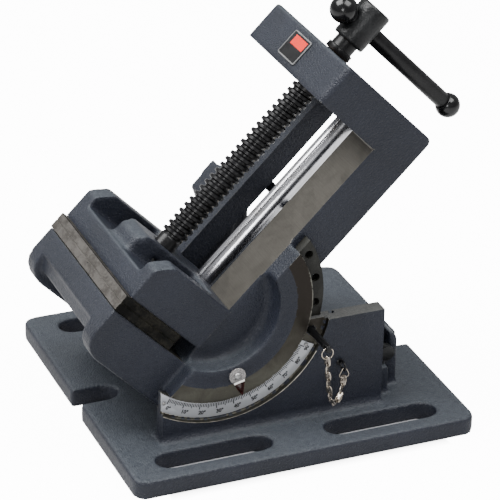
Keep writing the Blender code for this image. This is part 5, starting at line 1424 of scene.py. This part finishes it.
@dataclass
class Spindle:
    """The spindle: journal, thread, collar, neck and drilled head.

    Attributes:
        pitch: Lead of the thread.
        lip: Height of the rounding at crest and root, as a share of the thread's depth.
        crest: Radius of the thread's crest.
        root: Radius of its root.
        thread: Start and end of the thread along U.
        steps: Steps of the thread in each turn.
        journal: Outline of the journal with its groove, as radius and U.
        neck: Outline of the collar and the neck.
        head: Outline of the head.
        bore: Radius of the bar's hole through the head.
        seats: Height and radius of the hollow for each ball.
    """

    pitch: float = 0.004
    lip: float = 0.22
    crest: float = 0.007
    root: float = 0.0052
    thread: Span = (0.0065, 0.1365)
    steps: int = 40
    journal: Sequence[Span] = (
        (0, 0.0098), (0.0051, 0.0096), (0.0058, 0.0084), (0.006, 0.0080), (0.006, -0.0066),
        (0.0046, -0.0067), (0.0046, -0.0102), (0.006, -0.0103), (0.006, -0.0134), (0.0056, -0.0139),
        (0, -0.0139),
    )
    neck: Sequence[Span] = (
        (0, 0.1340), (0.0058, 0.1340), (0.0058, 0.1364), (0.0073, 0.1364), (0.0075, 0.1367),
        (0.0075, 0.1397), (0.0072, 0.1400), (0.0064, 0.1401), (0.00635, 0.1404), (0.00635, 0.1452),
        (0, 0.1452),
    )
    head: Sequence[Span] = (
        (0, 0.1678), (0.0078, 0.1678), (0.0086, 0.1675), (0.0091, 0.1668), (0.0092, 0.1658),
        (0.0092, 0.1464), (0.0090, 0.1456), (0.0084, 0.1450), (0, 0.1450),
    )
    bore: float = 0.0048
    seats: tuple[Span, Span] = ((0.0148, 0.0078), (-0.0141, 0.0071))

    def thread_shape(self) -> Shape:
        """Makes the thread by spinning one pitch of its profile along a helix."""
        turns = int((self.thread[1] - self.thread[0]) / self.pitch)
        depth = self.crest - self.root
        lip = depth * self.lip
        profile = [
            (0.00, self.root + lip), (0.05, self.root), (0.31, self.root), (0.36, self.root + lip),
            (0.44, self.crest - lip), (0.48, self.crest), (0.86, self.crest), (0.91, self.crest - lip),
            (1.00, self.root + lip),
        ]
        shape = bmesh.new()
        line = [shape.verts.new((radius, 0, share * self.pitch)) for share, radius in profile]
        edges = [shape.edges.new(pair) for pair in zip(line, line[1:])]
        steps = self.steps * turns
        climb = (0, 0, self.pitch / self.steps)
        bmesh.ops.spin(
            shape, geom=line + edges, cent=(0, 0, 0), axis=(0, 0, 1), dvec=climb,
            angle=2 * math.pi * turns, steps=steps, use_merge=False,
        )
        bmesh.ops.remove_doubles(shape, verts=shape.verts, dist=1e-6)
        bmesh.ops.holes_fill(shape, edges=[e for e in shape.edges if e.is_boundary])
        bmesh.ops.recalc_face_normals(shape, faces=shape.faces)
        bmesh.ops.translate(shape, vec=(0, 0, self.thread[0]), verts=shape.verts)
        return shape

    def build(self) -> None:
        """Makes the spindle's pieces and the bar's hole through its head."""
        place = SPINDLE_LINE @ LIE_ALONG_X
        thread = self.thread_shape()
        hang("spindle_thread", thread, Body.SPINDLE, THREAD_BLACK, Slot.OXIDE, (), place, 50.0)
        for word, outline in (("journal", self.journal), ("neck", self.neck)):
            shape = turned(outline, 64)
            hang("spindle_" + word, shape, Body.SPINDLE, THREAD_BLACK, Slot.OXIDE, (), place)
        self.drilled_head()

    def drilled_head(self) -> None:
        """Makes the drilled head, hollowed where the balls seat."""
        body = turned(self.head, 72)
        move(body, LIE_ALONG_X)
        tools = [rod(self.bore, (-0.02, 0.02), 48, 0.0, Matrix.Translation((HANDLE_U, 0, 0)))]
        for height, radius in self.seats:
            tools.append(ball(radius, Matrix.Translation((HANDLE_U, 0, height)), 48, 24))
        for tool in tools:
            body = carve(body, tool)
        break_edges(body, 0.00025, 2, 48.0)
        hang("spindle_head", body, Body.SPINDLE, HEAD_BLACK, Slot.OXIDE, ["spindle"], SPINDLE_LINE)


@dataclass
class Handle:
    """The sliding bar with a ball at each end.

    Attributes:
        bar_radius: Radius of the bar.
        balls: Height and radius of each ball.
        collar: How much wider than the bar the flat is where it enters a ball.
    """

    bar_radius: float = 0.0045
    balls: tuple[Span, Span] = ((0.0148, 0.0074), (-0.0745, 0.0067))
    collar: float = 0.0006

    def build(self) -> None:
        """Makes the bar and the balls."""
        place = SPINDLE_LINE @ Matrix.Translation((HANDLE_U, 0, 0))
        upper, lower = self.balls
        bar = rod(self.bar_radius, (lower[0], upper[0]), 64, 0.0003)
        hang("handle_bar_smooth", bar, Body.HANDLE, THREAD_BLACK, Slot.OXIDE, ["handle_bar"], place)
        for word, (height, radius), side in (("upper", upper, -1), ("lower", lower, 1)):
            knob = ball(radius, Matrix.Translation((0, 0, height)), 64, 40)
            flat = height + side * math.sqrt(radius**2 - (self.bar_radius + self.collar) ** 2)
            cut_off(knob, flat, side)
            break_edges(knob, 0.0003, 2, 25.0)
            node = "handle_ball_" + word
            hang(node + "_polished", knob, Body.HANDLE, BALL_BLACK, Slot.OXIDE, [node], place)


# Degree scale


@dataclass
class DegreeScale:
    """Ticks and numbers on the curved scale, and painted highlight lines on its recess rim.

    Attributes:
        zero: World angle of the 0 mark about the tilt axis, in degrees.
        inner: Radius of the scale's inner edge.
        face: The scale's front face along Y.
        numbers: Radius of the middle of the numbers.
        text_height: Size of the numbers.
        text_weight: How far their outline is widened.
        text_lift: How far they stand out of the face.
        text_shift: Degrees that a number stands beside its mark, and the last number beside its own.
        ticks: Length and width of a tick at ten degrees, at five and at one.
        tick_inset: How far ticks start from the inner edge.
        tick_thickness: How thick they are.
        edges: Inner radius, outer radius and face along Y of each painted highlight line outside the
            scale.
        edge_angles: Start and end of those lines in degrees, downwards from +X.
        edge_thickness: How thick they are.
    """

    zero: float = -121.0
    inner: float = 0.0512
    face: float = -0.0574
    numbers: float = 0.0570
    text_height: float = 0.0029
    text_weight: float = 0.00016
    text_lift: float = 0.00002
    text_shift: Span = (1.9, 0.4)
    ticks: Sequence[Span] = ((0.0032, 0.0006), (0.0026, 0.0005), (0.0019, 0.0005))
    tick_inset: float = 0.0007
    tick_thickness: float = 0.00004
    edges: Sequence[tuple[float, float, float]] = ((0.0600, 0.0605, -0.0566), (0.0612, 0.0615, -0.06004))
    edge_angles: Span = (30.0, 120.6)
    edge_thickness: float = 0.00006

    def spot(self, degrees: float, radius: float) -> Matrix:
        """Gives the frame of a mark: X to the right, Y towards the tilt axis, Z out of the face.

        Args:
            degrees: Reading on the scale.
            radius: Distance from the tilt axis.

        Returns:
            The frame.
        """
        angle = math.radians(self.zero + degrees)
        outward = Vector((math.cos(angle), 0, math.sin(angle)))
        right = Vector((-math.sin(angle), 0, math.cos(angle)))
        turn = Matrix((right, -outward, Vector((0, -1, 0)))).transposed().to_4x4()
        return PIVOT @ Matrix.Translation(outward * radius + Vector((0, self.face, 0))) @ turn

    def tick_marks(self) -> Shape:
        """Makes the 91 ticks."""
        shape = bmesh.new()
        for degree in range(91):
            length, width = self.ticks[0 if degree % 10 == 0 else 1 if degree % 5 == 0 else 2]
            middle = self.spot(degree, self.inner + self.tick_inset + length / 2)
            size = Matrix.Diagonal((width, length, self.tick_thickness, 1))
            bmesh.ops.create_cube(shape, size=1.0, matrix=middle @ size)
        return shape

    def digits(self) -> Iterable[Shape]:
        """Makes the numbers, one for each ten degrees."""
        for degree in range(0, 91, 10):
            text = bpy.data.curves.new("digits", "FONT")
            text.body = f"{degree}°"
            text.size = self.text_height
            text.align_x = "CENTER"
            text.align_y = "CENTER"
            text.extrude = self.text_lift
            text.offset = self.text_weight
            text.resolution_u = 3
            holder = bpy.data.objects.new("digits", text)
            link(holder)
            graph = bpy.context.evaluated_depsgraph_get()
            mesh = bpy.data.meshes.new_from_object(holder.evaluated_get(graph))
            bpy.data.objects.remove(holder)
            bpy.data.curves.remove(text)
            mesh.transform(self.spot(degree + self.text_shift[degree == 90], self.numbers))
            yield taken(mesh)

    def highlight_lips(self) -> Iterable[Shape]:
        """Makes two thin bright rings on the recess's turned edges: bare turned metal and worn paint,
        drawn brighter than the turned iron as a painted highlight of the light those edges catch.
        """
        for inner, outer, face in self.edges:
            span = (face, face + self.edge_thickness)
            yield ring((inner, outer), span, 120, self.edge_angles, PIVOT)

    def build(self) -> None:
        """Makes the scale's plate, marks and rivets."""
        # Painted highlight: bright rings along the recess's turned edges.
        hang("recess_lips_painted_highlight", joined(self.highlight_lips()), Body.BASE, LIP_PAINTED_HIGHLIGHT, Slot.PAINT)
        DressedNode("scale_plate", Body.BASE, SCALE_SILVER, Slot.SCALE, 0.00006).build()
        hang("scale_ticks", self.tick_marks(), Body.BASE, SCALE_INK, Slot.SCALE)
        hang("scale_numbers", joined(self.digits()), Body.BASE, SCALE_INK, Slot.SCALE)
        for number in (1, 2):
            DressedNode(f"scale_rivet_{number}", Body.BASE, STEEL, Slot.STEEL, 0.0, 1).build()


# Pin, chain and small hardware


def small_hardware() -> list[DressedNode]:
    """Lists the CAD nodes that keep their shape and get rounded edges and a finish."""
    base, bed, jaw, pin = Body.BASE, Body.BED, Body.JAW, Body.PIN
    rows = [
        DressedNode("eye_screw", base, THREAD_BLACK, Slot.OXIDE, 0.0, 1),
        DressedNode("spindle_nut", bed, BRONZE, Slot.BRONZE, 0.0003),
        DressedNode("index_pin", pin, THREAD_BLACK, Slot.OXIDE, 0.0002),
        DressedNode("split_ring", pin, NICKEL, Slot.CHAIN, 0.0, 1),
        DressedNode("chain_ring", pin, NICKEL, Slot.CHAIN, 0.0, 1),
        DressedNode("thrust_button", jaw, STEEL, Slot.STEEL),
        DressedNode("clamp_bolt", Body.CLAMP, HEAD_BLACK, Slot.OXIDE, 0.0004),
        DressedNode("clamp_washer", base, STEEL, Slot.STEEL),
        DressedNode("clamp_nut", base, STEEL, Slot.STEEL, 0.0003),
    ]
    rows += [DressedNode(f"chain_link_{i:02d}", pin, NICKEL, Slot.CHAIN, 0.0, 1) for i in range(1, 12)]
    rows += [DressedNode("retaining_pin_" + word, jaw, STEEL, Slot.STEEL) for word in ("lower", "upper")]
    rows += [DressedNode("keeper_" + word, jaw, STEEL, Slot.STEEL, 0.0003) for word in ("front", "rear")]
    rows += [DressedNode(f"keeper_screw_{i}", jaw, STEEL, Slot.STEEL) for i in range(1, 5)]
    for word in ("front", "rear"):
        rows.append(DressedNode("fixed_plate_screw_" + word, bed, SCREW_BLACK, Slot.OXIDE))
        rows.append(DressedNode("moving_plate_screw_" + word, jaw, SCREW_BLACK, Slot.OXIDE))
    return rows


# Studio


@dataclass
class Studio:
    """Camera, floor and lights.

    Attributes:
        camera_place: Where the camera stands.
        azimuth: Its turn about Z, 0 looking along +Y.
        elevation: Its angle above the horizon.
        roll: Its turn about its own axis.
        lens: Focal length in millimetres on a 36 mm sensor.
        target: What the lamps are aimed at.
        lights: Name, place, edge and power in watts of each square lamp.
        floor_glow: Light that the floor adds for the camera alone, so that it shows nearly white.
        floor_drop: How far the floor lies under the base.
        shade_edges: Where the floor's painted shade under the base ends, along X and along Y.
    """

    camera_place: tuple[float, float, float] = (-0.48205, -1.13352, 0.71219)
    azimuth: float = -23.1537
    elevation: float = 27.1545
    roll: float = 1.3573
    lens: float = 188.95
    target: tuple[float, float, float] = (0.0, 0.0, 0.08)
    lights: Sequence[tuple[str, tuple[float, float, float], float, float]] = (
        ("key", (-0.75, 0.3, 1.6), 1.2, 72.0),
        ("top", (0.6, -0.6, 1.7), 1.2, 44.0),
        ("front", (-1.0, -1.7, 0.8), 0.5, 13.5),
    )
    floor_glow: float = 12.0
    floor_drop: float = 0.0002
    shade_edges: tuple[Span, Span] = ((0.0755, 0.078), (0.087, 0.098))

    def camera(self) -> None:
        """Adds the camera at the photograph's angle."""
        turn, rise, lean = (math.radians(angle) for angle in (self.azimuth, self.elevation, self.roll))
        back = Vector((math.sin(turn) * math.cos(rise), -math.cos(turn) * math.cos(rise), math.sin(rise)))
        right = Vector((0, 0, 1)).cross(back).normalized()
        up = back.cross(right)
        rolled_right = math.cos(lean) * right + math.sin(lean) * up
        rolled_up = -math.sin(lean) * right + math.cos(lean) * up
        data = bpy.data.cameras.new("camera")
        data.lens = self.lens
        data.sensor_width = 36.0
        data.clip_start = 0.05
        data.clip_end = 20.0
        camera = bpy.data.objects.new("camera", data)
        matrix = Matrix((rolled_right, rolled_up, back)).transposed().to_4x4()
        matrix.translation = self.camera_place
        camera.matrix_world = matrix
        link(camera)
        bpy.context.scene.camera = camera

    def lamps(self) -> None:
        """Adds the area lights, each aimed at the vise, and a pale sky."""
        for name, place, size, power in self.lights:
            data = bpy.data.lights.new(name, "AREA")
            data.size = size
            data.energy = power
            lamp = bpy.data.objects.new(name, data)
            lamp.location = place
            aim = Vector(self.target) - Vector(place)
            lamp.rotation_mode = "QUATERNION"
            lamp.rotation_quaternion = aim.to_track_quat("-Z", "Y")
            link(lamp)
        world = bpy.data.worlds.new("studio")
        world.use_nodes = True
        world.node_tree.nodes["Background"].inputs["Color"].default_value = (0.97, 0.98, 1.0, 1.0)
        world.node_tree.nodes["Background"].inputs["Strength"].default_value = 0.5
        bpy.context.scene.world = world

    def floor_finish(self) -> Material:
        """Makes the pale floor's material, with a painted shade under the base and glowing for the camera
        alone beyond it.
        """
        material = bpy.data.materials.new("pale_floor")
        material.use_nodes = True
        shader = material.node_tree.nodes["Principled BSDF"]
        shader.inputs["Roughness"].default_value = 0.7
        shader.inputs["Emission Strength"].default_value = self.floor_glow
        graph = Graph(material.node_tree)
        away = graph.add("VectorMath", {0: graph.own_place()}, operation="ABSOLUTE")
        parts = graph.add("SeparateXYZ", {0: away.outputs[0]}).outputs
        beside = graph.math("MAXIMUM", *[graph.span(parts[i], *self.shade_edges[i]) for i in (0, 1)])
        # Painted shade: the floor is darker under the base, where its slots and notch show it.
        shade = graph.blend(beside, (0.4, 0.4, 0.42), (0.6, 0.6, 0.6))
        graph.feed(shader.inputs["Base Color"], shade)
        seen = graph.add("LightPath").outputs["Is Camera Ray"]
        glow = graph.blend(graph.times(seen, beside), (0.0, 0.0, 0.0), (1.0, 1.0, 1.0))
        graph.feed(shader.inputs["Emission Color"], glow)
        return material

    def build(self) -> None:
        """Adds camera, lights and floor."""
        self.camera()
        self.lamps()
        floor = bmesh.new()
        bmesh.ops.create_grid(floor, x_segments=1, y_segments=1, size=6.0)
        mesh = meshed(floor, "floor")
        mesh.materials.append(self.floor_finish())
        ground = bpy.data.objects.new("floor", mesh)
        ground.location.z = -self.floor_drop
        link(ground)


def main() -> None:
    """Builds every piece of the vise and the studio round it."""
    logging.basicConfig(level=logging.INFO, format="%(name)s %(message)s")
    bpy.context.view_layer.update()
    for casting in (base_casting(), bed_casting(), jaw_casting()):
        casting.build()
    IndexFlange().build()
    Pointer().build()
    Badge().build()
    JawPlate("fixed_jaw_plate", Body.BED, -0.0274, 0.00014, [(-0.0284, -0.0015)]).build()
    JawPlate("moving_jaw_plate", Body.JAW, -0.0271, -0.00014).build()
    GuideRod().build()
    Spindle().build()
    Handle().build()
    DegreeScale().build()
    for node in small_hardware():
        node.build()
    Studio().build()


if __name__ == "__main__":
    main()
